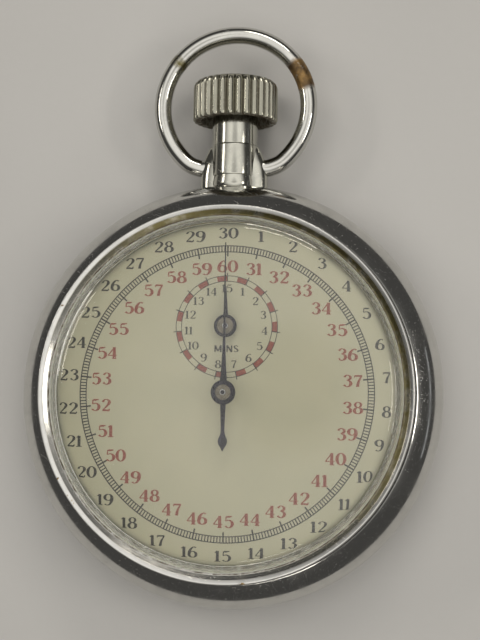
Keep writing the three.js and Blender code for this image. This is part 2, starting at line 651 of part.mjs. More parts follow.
function secondArbor() {
  return pinionArbor(SECOND_PINION, SECOND_AT, secondPinionPhase, 2.7, 7.4, 3.55, 0.75);
}

function thirdArbor() {
  return pinionArbor(THIRD_PINION, THIRD_AT, thirdPinionPhase, 2.7, 7.4, 5.6, 0.75);
}

// Sweep arbor: train pinion between the plates, recording pinion under the dial,
// and a long post through the dial for the hand.
function sweepArbor() {
  const train = pinionArbor(SWEEP_PINION, SWEEP_AT, sweepPinionPhase, 2.7, 12.3, 4.95, 0.7);
  return train.add(wheel(RECORD_PINION, SWEEP_AT, WORKS_LOW_Z - 0.05, 0.5, recordPinionPhase));
}

function escapeArbor() {
  return pinionArbor(ESCAPE_PINION, ESCAPE_AT, escapePinionPhase, 2.7, 7.4, 4.25, 0.7);
}

// Pointed teeth that lean forwards.
function escapeWheel() {
  const shape = new THREE.Shape();
  const step = (2 * Math.PI) / ESCAPE_TEETH;
  for (let i = 0; i < ESCAPE_TEETH; i += 1) {
    const at = i * step;
    [[0, 2.15], [-0.1, ESCAPE_R], [0.42, 2.25]].forEach(([part, r], k) => {
      const turn = at + part * step;
      shape[i || k ? "lineTo" : "moveTo"](r * Math.cos(turn), r * Math.sin(turn));
    });
  }
  shape.holes.push(roundHole(ARBOR_R + FIT), ...windows(4, 0.8, 1.7, 0.35));
  return slab(shape, SECOND_Z, 0.35, 2).translate([ESCAPE_AT.x, ESCAPE_AT.y, 0]);
}

// Pin-pallet lever: two arms with upright pins at the escape wheel, a fork at the balance.
function palletLever() {
  const z = SECOND_Z;
  const line = LEVER_LINE;
  const pins = [118, -118].map((spread) => polar(LEVER_AT, 2.05, line + spread));
  const arms = pins.map((pin) => bar(LEVER_AT, pin, z + 0.45, 0.3, 0.5, 0.25));
  const neck = polar(LEVER_AT, 2.5, line);
  const horns = [7.5, -7.5].map((spread) => bar(neck, polar(LEVER_AT, 3.4, line + spread),
    z + 0.45, 0.3, 0.3, 0.13));
  const stalk = bar(LEVER_AT, neck, z + 0.45, 0.3, 0.5, 0.3);
  const posts = pins.map((pin) => rod(pin, 0.1, z - 0.05, z + 0.6, 8));
  const arbor = rod(LEVER_AT, ARBOR_R, 2.7, 7.4);
  return [...arms, ...horns, stalk, ...posts].reduce((made, part) => made.add(part), arbor);
}

const BALANCE_R = 4.3;
const BALANCE_Z = 4.75;

function balanceWheel() {
  const shape = new THREE.Shape(ring(BALANCE_R, 24));
  shape.holes.push(roundHole(0.4), ...windows(3, 1, BALANCE_R - 0.65, 0.7));
  return slab(shape, BALANCE_Z, 0.5, 3).translate([BALANCE_AT.x, BALANCE_AT.y, 0]);
}

// Staff with the spring's collet below the wheel and the roller with its pin above.
function balanceStaff() {
  const staff = rod(BALANCE_AT, ARBOR_R, 2.3, 7.4);
  const collet = rod(BALANCE_AT, 0.65, 3.75, 4.35, 12);
  const roller = rod(BALANCE_AT, 1, 5.5, 5.8, 14);
  const pin = rod(polar(BALANCE_AT, 0.8, LEVER_LINE + 180), 0.12, 5.6, 6.4, 8);
  return staff.add(collet).add(roller).add(pin);
}

const hairspring = () => spiral(BALANCE_AT, 0.85, 3.05, 6, 0.09, 3.85, 0.3, 9, COCK_LINE);

// Index for the rate, on the outside of the cock.
function regulator() {
  const z = BACK_PLATE_Z - 0.45;
  const long = polar(BALANCE_AT, 4, LEVER_LINE + 15);
  const short = polar(BALANCE_AT, 2.2, LEVER_LINE + 195);
  const lever = bar(BALANCE_AT, long, z, 0.35, 1.2, 0.22).add(bar(BALANCE_AT, short, z, 0.35, 1.2, 0.35));
  return lever.subtract(rod(BALANCE_AT, 0.6, 0, 4, 12));
}

// ---- Register and hands ---------------------------------------------------------------
// Heart cam: a hammer falling on it always turns it back to zero.
function heart(at, size, z, bore) {
  const shape = new THREE.Shape();
  const steps = 20;
  for (let i = 0; i < steps; i += 1) {
    const turn = (2 * Math.PI * i) / steps;
    const away = Math.abs(Math.PI - turn) / Math.PI;
    const r = size * (0.55 + 0.45 * (1 - away));
    shape[i ? "lineTo" : "moveTo"](r * Math.cos(turn), r * Math.sin(turn));
  }
  return slab(shape, z, WHEEL_THICK).translate([at.x, at.y, 0]).subtract(rod(at, bore, z - 1, z + 1));
}

function minuteArbor() {
  return rod(MINUTE_AT, ARBOR_R, 6.7, 11.15);
}

function recordArbor() {
  const arbor = rod(RECORD_AT, ARBOR_R, 6.7, 8.95);
  return arbor.add(wheel(MINUTE_PINION, RECORD_AT, WORKS_HIGH_Z - 0.05, 0.5, minutePinionPhase));
}

const MINUTE_HAND_Z = 10.6;
const SWEEP_HAND_Z = 11.55;
const HAND_THICK = 0.16;

function minuteHand() {
  const tip = vec(MINUTE_AT.x, MINUTE_AT.y + 4.9);
  const blade = bar(MINUTE_AT, tip, MINUTE_HAND_Z, HAND_THICK, 0.3, 0.1);
  const boss = rod(MINUTE_AT, 1.4, MINUTE_HAND_Z, MINUTE_HAND_Z + 0.4, 20);
  return blade.add(boss).subtract(rod(MINUTE_AT, ARBOR_R + FIT, 9, 12));
}

function sweepHand() {
  const stations = [[0, 0.52], [2.6, 0.3], [6, 0.14], [18.4, 0.07]];
  const blade = chain(stations.map(([y, half]) => [vec(0, y), half]), SWEEP_HAND_Z, HAND_THICK);
  const tail = chain([[vec(0, 0), 0.4], [vec(0, -3.6), 0.2], [vec(0, -4.7), 0.24]],
    SWEEP_HAND_Z, HAND_THICK);
  const leaf = new THREE.Shape();
  leaf.moveTo(0, -4.3);
  leaf.quadraticCurveTo(0.3, -5.4, 0.58, -5.9);
  leaf.quadraticCurveTo(0.35, -6.5, 0, -7.1);
  leaf.quadraticCurveTo(-0.35, -6.5, -0.58, -5.9);
  leaf.quadraticCurveTo(-0.3, -5.4, 0, -4.3);
  const boss = rod(SWEEP_AT, 1.5, SWEEP_HAND_Z, SWEEP_HAND_Z + 0.45, 20);
  const made = blade.add(tail).add(slab(leaf, SWEEP_HAND_Z, HAND_THICK, 4)).add(boss);
  return made.subtract(rod(SWEEP_AT, ARBOR_R + FIT, 9, 14));
}

// ---- Start, stop and return work --------------------------------------------------------
// The stem pushes the lever's bent tab, and the lever's pawl steps the column wheel.
function operatingLever() {
  const z = WORKS_LOW_Z;
  const tabTop = STEM_END_Y - 0.14;
  const arm = chain([[vec(0, 17.1), 0.6], [vec(3.5, 17.5), 0.6], [OPERATING_PIVOT, 1]], z, WHEEL_THICK);
  const pawl = chain([[OPERATING_PIVOT, 1], [vec(6.2, 15.6), 0.45], [vec(6.6, 14.9), 0.2]],
    z, WHEEL_THICK);
  const tab = block(-0.6, 0.6, tabTop - 0.5, tabTop, 4.2, z + WHEEL_THICK);
  return arm.add(pawl).add(tab).subtract(rod(OPERATING_PIVOT, 0.55, z - 1, z + 2));
}

// Ratchet of 15 teeth under 5 columns, so three presses pass one column.
function columnWheel() {
  const teeth = 15;
  const shape = new THREE.Shape();
  const step = (2 * Math.PI) / teeth;
  for (let i = 0; i < teeth; i += 1) {
    [[0, 2.15], [0.1, 2.7], [0.8, 2.2]].forEach(([part, r], k) => {
      const turn = (i + part) * step;
      shape[i || k ? "lineTo" : "moveTo"](r * Math.cos(turn), r * Math.sin(turn));
    });
  }
  const hub = rod(vec(0, 0), 1, WORKS_LOW_Z, 8.3, 12);
  const columns = Array.from({ length: 5 }, (_, i) => {
    const column = new THREE.Shape();
    const from = (2 * Math.PI * i) / 5;
    column.absarc(0, 0, 2.05, from, from + 0.5, false);
    column.absarc(0, 0, 1.2, from + 0.5, from, true);
    return slab(column, WORKS_LOW_Z + 0.3, 0.85, 1);
  });
  const made = columns.reduce((all, column) => all.add(column), slab(shape, WORKS_LOW_Z, 0.4).add(hub));
  const bore = rod(vec(0, 0), 0.55, 7, 9);
  return made.subtract(bore).translate([COLUMN_AT.x, COLUMN_AT.y, 0]);
}

// Brake: its nose rides on the columns, its pin reaches down to the balance rim.
function brakeLever() {
  const z = WORKS_LOW_Z;
  const pin = vec(12, -3.1);
  const nose = vec(12.3, 9.7);
  const up = chain([[BRAKE_PIVOT, 1], [vec(16, 4), 0.45], [nose, 0.25]], z, WHEEL_THICK);
  const down = bar(BRAKE_PIVOT, pin, z, WHEEL_THICK, 1, 0.35);
  const made = up.add(down).add(rod(pin, 0.22, 4.8, z + 0.1));
  return made.subtract(rod(BRAKE_PIVOT, 0.55, z - 1, z + 2));
}

// Return hammer: two flat faces that fall on the two hearts.
function returnHammer() {
  const z = WORKS_LOW_Z;
  const knee = vec(-3.7, 1);
  const head = vec(-3.4, 8.15);
  const top = vec(-2.6, 13.6);
  const arm = chain([[HAMMER_PIVOT, 1], [knee, 0.55], [head, 0.5], [top, 0.4], [vec(4.2, 14.2), 0.3]],
    z, WHEEL_THICK);
  const sweepFace = block(-3.9, -1.95, -0.55, 0.9, z, WORKS_HIGH_Z + WHEEL_THICK);
  const minuteFace = block(-3.4, -2.45, 7.5, 8.8, z, z + WHEEL_THICK);
  return arm.add(sweepFace).add(minuteFace).subtract(rod(HAMMER_PIVOT, 0.55, z - 1, z + 2));
}

// Bent wire spring screwed down at one end, resting beside the lever it returns.
function wireSpring(points) {
  const z = WORKS_LOW_Z + 0.05;
  const wire = chain(points.map((point) => [point, 0.14]), z, 0.28);
  return wire.add(rod(points[0], 0.6, 7.53, z + 0.28));
}

// ---- The watch ------------------------------------------------------------------------
add("case_middle", caseMiddle(), chrome());
add("rear_cover", rearCover(), chrome());
add("bezel", bezel(), chrome());
add("crystal", crystal(), acrylic());
add("dial", dial(), cream());
add("pendant_neck", pendantNeck(), chrome());
add("pendant_sleeve", pendantSleeve(), chrome());
add("bow", bow(), chrome());
add("crown", crown(), nickel());
add("crown_stem", crownStem(), steel());
add("winding_pinion", windingPinion(), steel());

add("pillar_plate", pillarPlate(), brass());
add("back_plate", backPlate(), brass());
add("balance_cock", balanceCock(), brass());
PILLARS.forEach((at, i) => {
  add(`pillar_${i + 1}`, pillar(at), brass());
  add(`plate_screw_${i + 1}`, screw(at, 0.5, 1.1, BACK_PLATE_Z - 0.55, BACK_PLATE_Z - 0.03, 5), steel());
});
add("cock_screw", screw(COCK_FOOT, 0.5, 1.1, BACK_PLATE_Z - 0.55, BACK_PLATE_Z - 0.03, 5), steel());
CASE_SCREWS.forEach((at, i) => {
  add(`case_screw_${i + 1}`, screw(at, 0.45, 1.3, 5.1, 5.62, 7.3), steel());
});

add("crown_wheel", crownWheel(), steel());
add("crown_wheel_screw", crownWheelScrew(), steel());
add("ratchet_wheel", ratchetWheel(), steel());
add("ratchet_screw", ratchetScrew(), steel());
add("barrel_arbor", barrelArbor(), steel());
add("barrel_drum", barrelDrum(), brass());
add("barrel_cover", barrelCover(), brass());
add("mainspring", mainspring(), bluedSteel());
add("click", click(), steel());
add("click_screw", clickScrew(), steel());
add("click_spring", clickSpring(), steel());

add("second_arbor", secondArbor(), steel());
add("second_wheel", stakedWheel(SECOND, SECOND_AT, SECOND_Z, secondPhase, 5), brass());
add("third_arbor", thirdArbor(), steel());
add("third_wheel", stakedWheel(THIRD, THIRD_AT, THIRD_Z, thirdPhase, 5), brass());
add("sweep_arbor", sweepArbor(), steel());
add("fourth_wheel", stakedWheel(FOURTH, SWEEP_AT, FOURTH_Z, fourthPhase, 5), brass());
add("escape_arbor", escapeArbor(), steel());
add("escape_wheel", escapeWheel(), brass());
add("pallet_lever", palletLever(), brass());
add("balance_staff", balanceStaff(), steel());
add("balance_wheel", balanceWheel(), brass());
add("hairspring", hairspring(), bluedSteel());
add("regulator", regulator(), steel());

add("record_arbor", recordArbor(), steel());
add("record_wheel", stakedWheel(RECORD_WHEEL, RECORD_AT, WORKS_LOW_Z, recordPhase, 4), brass());
add("minute_arbor", minuteArbor(), steel());
add("minute_wheel", stakedWheel(MINUTE_WHEEL, MINUTE_AT, WORKS_HIGH_Z, minutePhase, 5), brass());
add("minute_heart", heart(MINUTE_AT, 1.2, WORKS_LOW_Z, ARBOR_R + FIT), steel());
add("sweep_heart", heart(SWEEP_AT, 1.35, WORKS_HIGH_Z, ARBOR_R + FIT), steel());
add("minute_hand", minuteHand(), bluedSteel());
add("sweep_hand", sweepHand(), bluedSteel());

add("operating_lever", operatingLever(), steel());
add("column_wheel", columnWheel(), steel());
add("brake_lever", brakeLever(), steel());
add("return_hammer", returnHammer(), steel());
add("hammer_spring", wireSpring([vec(-9.5, -2), vec(-8.2, 4), vec(-4.6, 10)]), steel());

export default watch;
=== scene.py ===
"""A mechanical pocket stopwatch lying on a pale floor.

Sizes are millimetres in the part's own frame, and become metres when a mesh is made.
The watch lies on its back: +Z comes out of the dial and +Y points at the crown.
"""

import json
import math

import bmesh
import bpy
from mathutils import Matrix, Vector


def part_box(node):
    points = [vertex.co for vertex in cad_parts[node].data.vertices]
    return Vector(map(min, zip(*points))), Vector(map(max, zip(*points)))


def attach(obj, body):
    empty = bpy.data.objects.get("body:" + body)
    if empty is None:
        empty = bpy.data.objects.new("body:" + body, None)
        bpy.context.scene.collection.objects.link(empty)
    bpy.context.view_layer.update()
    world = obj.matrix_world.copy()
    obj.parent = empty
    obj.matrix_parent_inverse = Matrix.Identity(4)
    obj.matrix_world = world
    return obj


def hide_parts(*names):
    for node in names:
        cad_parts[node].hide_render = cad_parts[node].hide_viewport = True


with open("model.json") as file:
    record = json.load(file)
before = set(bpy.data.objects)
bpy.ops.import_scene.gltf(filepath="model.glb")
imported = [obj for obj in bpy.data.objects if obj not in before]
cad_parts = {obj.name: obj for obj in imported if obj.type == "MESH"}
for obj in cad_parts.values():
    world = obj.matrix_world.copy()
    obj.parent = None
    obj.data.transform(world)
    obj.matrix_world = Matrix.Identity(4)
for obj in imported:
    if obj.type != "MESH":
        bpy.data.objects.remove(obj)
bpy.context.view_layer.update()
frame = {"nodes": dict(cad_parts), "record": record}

MM = 0.001
TAU = 2 * math.pi
X, Y, Z = range(3)


# ---- Sizes, read from the frame ------------------------------------------------------
def low(node):
    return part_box(node)[0] / MM


def high(node):
    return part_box(node)[1] / MM


CASE_R = high("case_middle").x
BAND_LOW = high("rear_cover").z + 0.15
BAND_TOP = high("case_middle").z - 0.45
WALL_R = 21.4  # inside of the band and of the bezel
COVER_R = high("rear_cover").x
BEZEL_R = high("bezel").x
CREST_R = BEZEL_R - 0.28
BEZEL_LOW, BEZEL_TOP = low("bezel").z, high("bezel").z
CRYSTAL_R = high("crystal").x
CRYSTAL_LOW, CRYSTAL_TOP = low("crystal").z, high("crystal").z
DIAL_R = high("dial").x
DIAL_TOP = high("dial").z
REGISTER_Y = (low("minute_arbor").y + high("minute_arbor").y) / 2
STEM_Z = (low("crown_stem").z + high("crown_stem").z) / 2
NECK_TOP = high("pendant_neck").y
SLEEVE_R = high("pendant_sleeve").x
NECK_R = SLEEVE_R + 0.09
EAR_FLATNESS = 0.4  # the skirt's thickness as a share of its width
# Half width of the skirt, and distance from the neck's top.
EAR_OUTLINE = [(4.3, -7.5), (4.3, -4.8), (4.25, -3.6), (4.05, -2.3), (3.65, -1.2), (3.3, -0.4),
               (3.0, 0.03)]
SLEEVE_LOW, SLEEVE_TOP = low("pendant_sleeve").y, high("pendant_sleeve").y
CROWN_R = high("crown").x
CROWN_LOW, CROWN_TOP = low("crown").y, high("crown").y
# The frame's wire is an octagon that lies on a flat side.
WIRE_R = (high("bow").z - low("bow").z) / 2 / math.cos(math.pi / 8)
BOW_R = high("bow").x - WIRE_R
BOW_Y = high("bow").y - BOW_R - WIRE_R
JOINTS = {joint["name"]: joint for joint in frame["record"]["behaviour"]["joints"]}
BOW_PIVOT_Y = JOINTS["bow_swing"]["pos_m"][1] / MM
PRINT_THICK = 0.012  # ink stands this high on the dial
SHARP = 32  # degrees: edges over this angle stay sharp


# ---- Mesh making ---------------------------------------------------------------------
def make_mesh(name, verts, faces, sharp=SHARP):
    """A mesh object from millimetre points, smooth except at edges over sharp degrees."""
    mesh = bpy.data.meshes.new(name)
    mesh.from_pydata([Vector(v) * MM for v in verts], [], faces)
    finish_mesh(mesh, sharp)
    made = bpy.data.objects.new(name, mesh)
    bpy.context.collection.objects.link(made)
    return made


def finish_mesh(mesh, sharp):
    """Joins doubled points, turns faces outwards and keeps only the sharp edges sharp."""
    bm = bmesh.new()
    bm.from_mesh(mesh)
    bmesh.ops.remove_doubles(bm, verts=bm.verts, dist=2e-7)
    bmesh.ops.recalc_face_normals(bm, faces=bm.faces)
    for face in bm.faces:
        face.smooth = True
    for edge in bm.edges:
        edge.smooth = edge.calc_face_angle(0) < math.radians(sharp)
    bm.to_mesh(mesh)
    bm.free()


def rounded(points, radius, steps=5):
    """A closed outline with its corners rounded. A point may carry its own radius."""
    made = []
    count = len(points)
    for i, (x, y, *own) in enumerate(points):
        corner = Vector((x, y))
        back = Vector(points[i - 1][:2]) - corner
        ahead = Vector(points[(i + 1) % count][:2]) - corner
        half = back.angle(ahead) / 2
        size = own[0] if own else radius
        if size == 0 or half > math.radians(89.5):
            made.append(corner)
            continue
        cut = min(size / math.tan(half), 0.48 * back.length, 0.48 * ahead.length)
        start, end = corner + back.normalized() * cut, corner + ahead.normalized() * cut
        for k in range(steps + 1):
            t = k / steps
            made.append(start * (1 - t) ** 2 + corner * 2 * t * (1 - t) + end * t * t)
    return made


def grid_faces(rows, columns):
    """Faces of a grid of points whose rows and columns both close on themselves."""
    return [
        (i * columns + j, i * columns + (j + 1) % columns,
         (i + 1) % rows * columns + (j + 1) % columns, (i + 1) % rows * columns + j)
        for i in range(rows)
        for j in range(columns)
    ]


def circle(radius, y, count):
    """Points of a circle round the upright axis at y."""
    return [(radius * math.cos(TAU * k / count), y + radius * math.sin(TAU * k / count))
            for k in range(count)]


def turned_shell(outline, y, segments):
    """The shell of a closed outline of (radius, height) points turned about that axis."""
    verts = [
        (r * math.cos(TAU * i / segments), y + r * math.sin(TAU * i / segments), h)
        for i in range(segments)
        for r, h in outline
    ]
    return verts, grid_faces(segments, len(outline))


def turned(name, outline, segments):
    return make_mesh(name, *turned_shell(outline, 0, segments))


def stem_shell(outline, segments, point_at):
    """The shell of an outline of (radius, y) points turned about the pendant's axis.

    point_at(turn, radius) gives each point's distance across and up from the axis.
    """
    verts = []
    for i in range(segments):
        turn = TAU * i / segments
        for r, y in outline:
            across, up = point_at(turn, r)
            verts.append((across, y, STEM_Z + up))
    return verts, grid_faces(segments, len(outline))


def round_point(turn, r):
    return r * math.cos(turn), r * math.sin(turn)


def joined(name, parts):
    """Several closed shells, each (verts, faces), as one mesh."""
    verts, faces = [], []
    for more_verts, more_faces in parts:
        start = len(verts)
        verts += more_verts
        faces += [tuple(start + k for k in face) for face in more_faces]
    return make_mesh(name, verts, faces)


def prism(outline, z0, z1):
    """The shell of a flat outline raised from z0 to z1."""
    count = len(outline)
    verts = [(x, y, z) for z in (z0, z1) for x, y in outline]
    sides = [(k, (k + 1) % count, count + (k + 1) % count, count + k) for k in range(count)]
    return verts, sides + [tuple(range(count))[::-1], tuple(range(count, 2 * count))]


def strip(left, right, z0, z1, closed=False):
    """The shell of a ribbon between two lines of points, raised from z0 to z1."""
    count = len(left)
    verts = [(x, y, z) for z in (z0, z1) for line in (left, right) for x, y in line]
    faces = []
    for k in range(count if closed else count - 1):
        n = (k + 1) % count
        rings = [(a + k, a + n) for a in (0, count, 3 * count, 2 * count)]
        faces += [(*rings[s], *rings[(s + 1) % 4][::-1]) for s in range(4)]
    if not closed:
        faces += [(0, count, 3 * count, 2 * count)]
        last = count - 1
        faces += [(last, 2 * count + last, 3 * count + last, count + last)]
    return verts, faces


def smooth_line(points, steps):
    """Points on a Catmull-Rom curve through the given ones, whatever they hold."""
    points = [Vector(p) for p in points]
    made = []
    for i in range(len(points) - 1):
        a, b = points[max(i - 1, 0)], points[i]
        c, d = points[i + 1], points[min(i + 2, len(points) - 1)]
        for k in range(steps):
            t = k / steps
            made.append(0.5 * (2 * b + (c - a) * t + (2 * a - 5 * b + 4 * c - d) * t * t
                               + (3 * b - a - 3 * c + d) * t ** 3))
    return made + [points[-1]]


# ---- Materials -----------------------------------------------------------------------
class Surface:
    """One Principled material, with short ways to add nodes to it."""

    def __init__(self, name, color, roughness, metallic=0.0, **sockets):
        self.material = bpy.data.materials.new(name)
        self.material.use_nodes = True
        self.tree = self.material.node_tree
        self.shader = self.tree.nodes["Principled BSDF"]
        settings = {"Base Color": (*color, 1), "Roughness": roughness, "Metallic": metallic}
        for key, value in {**settings, **sockets}.items():
            self.shader.inputs[key].default_value = value
        metres = self.tree.nodes.new("ShaderNodeTexCoord").outputs["Object"]
        self.point = self.node("ShaderNodeVectorMath", {0: metres, "Scale": 1 / MM},
                               operation="SCALE")

    def node(self, kind, inputs, out=0, **props):
        made = self.tree.nodes.new(kind)
        for key, value in props.items():
            setattr(made, key, value)
        for key, value in inputs.items():
            if isinstance(value, bpy.types.NodeSocket):
                self.tree.links.new(value, made.inputs[key])
            else:
                made.inputs[key].default_value = value
        return made.outputs[out]

    def stretched(self, scale, turn):
        """The point turned, then scaled along each axis."""
        spun = self.node("ShaderNodeMapping", {0: self.point, "Rotation": turn})
        return self.node("ShaderNodeMapping", {0: spun, "Scale": scale})

    def noise(self, scale, detail=4, rough=0.55, at=None, warp=0.0):
        inputs = {"Vector": at or self.point, "Scale": scale, "Detail": detail,
                  "Roughness": rough, "Distortion": warp}
        return self.node("ShaderNodeTexNoise", inputs)

    def cells(self, scale):
        return self.node("ShaderNodeTexVoronoi", {"Vector": self.point, "Scale": scale})

    def spread(self, value, start, end, low=0.0, high=1.0):
        """Low where value is at start, high where it is at end, smooth between."""
        return self.node("ShaderNodeMapRange", {0: value, 1: start, 2: end, 3: low, 4: high},
                         interpolation_type="SMOOTHSTEP")

    def math(self, operation, a, b=0.0, clamp=True):
        return self.node("ShaderNodeMath", {0: a, 1: b}, operation=operation, use_clamp=clamp)

    def minus(self, a, b):
        return self.math("SUBTRACT", a, b, clamp=False)

    def times(self, a, b):
        return self.math("MULTIPLY", a, b)

    def most(self, a, b):
        return self.math("MAXIMUM", a, b)

    def mix(self, factor, a, b):
        inputs = {0: factor}
        for key, color in ((6, a), (7, b)):
            is_socket = isinstance(color, bpy.types.NodeSocket)
            inputs[key] = color if is_socket else (*color, 1)
        return self.node("ShaderNodeMix", inputs, out=2, data_type="RGBA")

    def blend(self, factor, a, b):
        return self.node("ShaderNodeMix", {0: factor, 2: a, 3: b}, data_type="FLOAT")

    def radius(self):
        """Distance from the dial's axis, in millimetres."""
        flat = self.node("ShaderNodeVectorMath", {0: self.point, 1: (1, 1, 0)},
                         operation="MULTIPLY")
        return self.node("ShaderNodeVectorMath", {0: flat}, out=1, operation="LENGTH")

    def distance(self, point):
        return self.node("ShaderNodeVectorMath", {0: self.point, 1: point}, out=1,
                         operation="DISTANCE")

    def along(self, axis):
        """The point's place along an axis, in millimetres."""
        return self.node("ShaderNodeSeparateXYZ", {0: self.point}, out=axis)

    def scratches(self, turn, across=7.0, along=0.12, amount=0.66):
        """Hairlines that run one way."""
        at = self.stretched((along, across, across), turn)
        return self.spread(self.noise(1.0, 3, 0.6, at=at), amount, amount + 0.05)

    def finish(self, color=None, roughness=None, metallic=None, *, bump, depth):
        """Links what is given to the shader, and bump as relief of that depth."""
        relief = self.node("ShaderNodeBump",
                           {"Height": bump, "Strength": 1.0, "Distance": depth * MM})
        links = {"Base Color": color, "Roughness": roughness, "Metallic": metallic,
                 "Normal": relief}
        for key, value in links.items():
            if value is not None:
                self.tree.links.new(value, self.shader.inputs[key])
        return self.material


CHROME = (0.66, 0.655, 0.63)
BOW_METAL = (0.6, 0.595, 0.56)
PENDANT_METAL = (0.54, 0.535, 0.475)
NICKEL = (0.39, 0.38, 0.315)
BRASS = (0.50, 0.35, 0.15)
OLD_BRASS = (0.3, 0.185, 0.07)
# Dark brown for soiled seams and cracks, also used as painted shade on the crown.
GRIME_AND_SHADE_BROWN = (0.075, 0.055, 0.032)
# Olive for staining, also used as painted shade on the bezel's inner slope.
OLIVE_STAIN_AND_SHADE = (0.17, 0.148, 0.068)
PIT = (0.12, 0.09, 0.06)
RUST = (0.11, 0.07, 0.035)
# Grey for painted shade of the crystal's edge on the dial.
CRYSTAL_EDGE_SHADE = (0.22, 0.22, 0.2)
SPECK = (0.16, 0.13, 0.08)


def plated(name, metal=CHROME, shine=0.07, grime_and_shade=None, worn=None, under=BRASS, stain_and_shade=None):
    """Bright plating with smears, hairlines and pits.

    The three masks are functions of the surface: where it is soiled and where shade is painted,
    where the metal under the plating shows, and where there is staining and painted shade.
    """
    s = Surface(name, metal, shine, 1.0)
    smear = s.noise(0.35, 5, 0.6, warp=0.6)
    hair = s.most(s.scratches((0.2, 0.3, 0.5)), s.scratches((1.1, 0.4, 2.1), amount=0.68))
    pits = s.times(s.spread(s.cells(1.7), 0.10, 0.04), s.spread(s.noise(0.5, 3), 0.5, 0.62))
    color = s.mix(s.spread(smear, 0.35, 0.7), metal, tuple(0.9 * c for c in metal))
    rough = s.spread(smear, 0.3, 0.75, shine, shine + 0.12)
    rough = s.blend(hair, rough, 0.32)
    metallic = s.spread(pits, 0.0, 1.0, 1.0, 0.4)
    color = s.mix(pits, color, PIT)
    if worn:
        shown = s.times(worn(s), s.spread(s.noise(1.3, 6, 0.65), 0.3, 0.42, 0.55, 1))
        mottled = s.mix(s.spread(s.noise(0.9, 5, 0.6), 0.35, 0.65), under, RUST)
        color = s.mix(shown, color, mottled)
        rough = s.blend(shown, rough, 0.42)
        metallic = s.blend(shown, metallic, 0.75)
    if stain_and_shade:
        # Staining, and on the bezel's inner slope painted shade as well.
        stain_and_shade_mask = s.times(stain_and_shade(s), s.spread(s.noise(0.7, 5, 0.6), 0.25, 0.6, 0.6, 1))
        color = s.mix(stain_and_shade_mask, color, OLIVE_STAIN_AND_SHADE)
        rough = s.blend(stain_and_shade_mask, rough, 0.34)
    if grime_and_shade:
        # Soiling in seams and cracks, and painted shade under the crown and between its ribs.
        dirt_and_shade_mask = s.times(grime_and_shade(s), s.spread(s.noise(1.6, 5, 0.6), 0.3, 0.62))
        color = s.mix(dirt_and_shade_mask, color, GRIME_AND_SHADE_BROWN)
        rough = s.blend(dirt_and_shade_mask, rough, 0.7)
        metallic = s.blend(dirt_and_shade_mask, metallic, 0.15)
    relief = s.math("SUBTRACT", s.spread(s.noise(2.2, 4), 0, 1, 0.5, 0.6), s.most(pits, hair))
    return s.finish(color, rough, metallic, bump=relief, depth=0.004)


def bezel_lip(s):
    """The lower inner slope, tinted olive by lacquer and soiling, and darker towards the crown and
    right by painted shade.
    """
    inside = s.spread(s.radius(), CREST_R - 0.4, CREST_R - 0.62)
    above = s.spread(s.along(Z), BEZEL_TOP - 0.9, BEZEL_TOP - 0.7)
    # Painted shade: the olive grows towards the crown and the right.
    side = s.math("ADD", s.along(X), s.along(Y), clamp=False)
    return s.times(s.times(inside, above), s.spread(side, -22, 14, 0.2, 1))


def bezel_grime(s):
    """Dirt in the crack beside the crystal and in the one above the band."""
    inside = s.times(s.spread(s.radius(), CREST_R - 1.07, CREST_R - 1.17),
                     s.spread(s.radius(), CREST_R - 1.42, CREST_R - 1.32))
    under = s.spread(s.along(Z), BEZEL_LOW + 0.35, BEZEL_LOW + 0.05)
    return s.most(inside, under)


def bezel_wear(s):
    """Chips along the crest."""
    return s.times(s.spread(s.radius(), CREST_R - 0.45, CREST_R - 0.25),
                   s.spread(s.noise(0.8, 3), 0.66, 0.7))


def seam_grime(s):
    """Dirt in the seam between the band and the rear cover."""
    from_seam = s.math("ABSOLUTE", s.minus(s.along(Z), BAND_LOW - 0.1), clamp=False)
    return s.spread(from_seam, 0.3, 0.08)


def bow_point(degrees):
    """The point on the middle of the bow's wire, counted from +X towards the crown."""
    turn = math.radians(degrees)
    return (BOW_R * math.cos(turn), BOW_Y + BOW_R * math.sin(turn), STEM_Z)


def bow_wear(s):
    """The wire's right shoulder, where the plating has gone."""
    ragged = s.times(s.noise(0.7, 5, 0.65), 2.4)
    return s.spread(s.minus(s.distance(bow_point(25.5)), ragged), 1.7, 0.9)


def bow_stain(s):
    """A green spot on the wire's left shoulder."""
    ragged = s.times(s.noise(1.1, 4, 0.6), 0.9)
    return s.spread(s.minus(s.distance(bow_point(142)), ragged), 1.0, 0.5)


def crown_grime(s):
    """Painted shade under the crown and between its ribs, which stand proud of this radius."""
    from_axis = s.node("ShaderNodeVectorMath", {0: s.point, 1: (0, 0, STEM_Z)},
                       operation="SUBTRACT")
    flat = s.node("ShaderNodeVectorMath", {0: from_axis, 1: (1, 0, 1)}, operation="MULTIPLY")
    size = s.node("ShaderNodeVectorMath", {0: flat}, out=1, operation="LENGTH")
    between = s.times(s.spread(size, CROWN_R - 0.22, CROWN_R - 0.4),
                      s.spread(s.along(Y), CROWN_TOP - 0.75, CROWN_TOP - 1.0))
    return s.most(between, s.spread(s.along(Y), CROWN_LOW + 0.14, CROWN_LOW + 0.04))


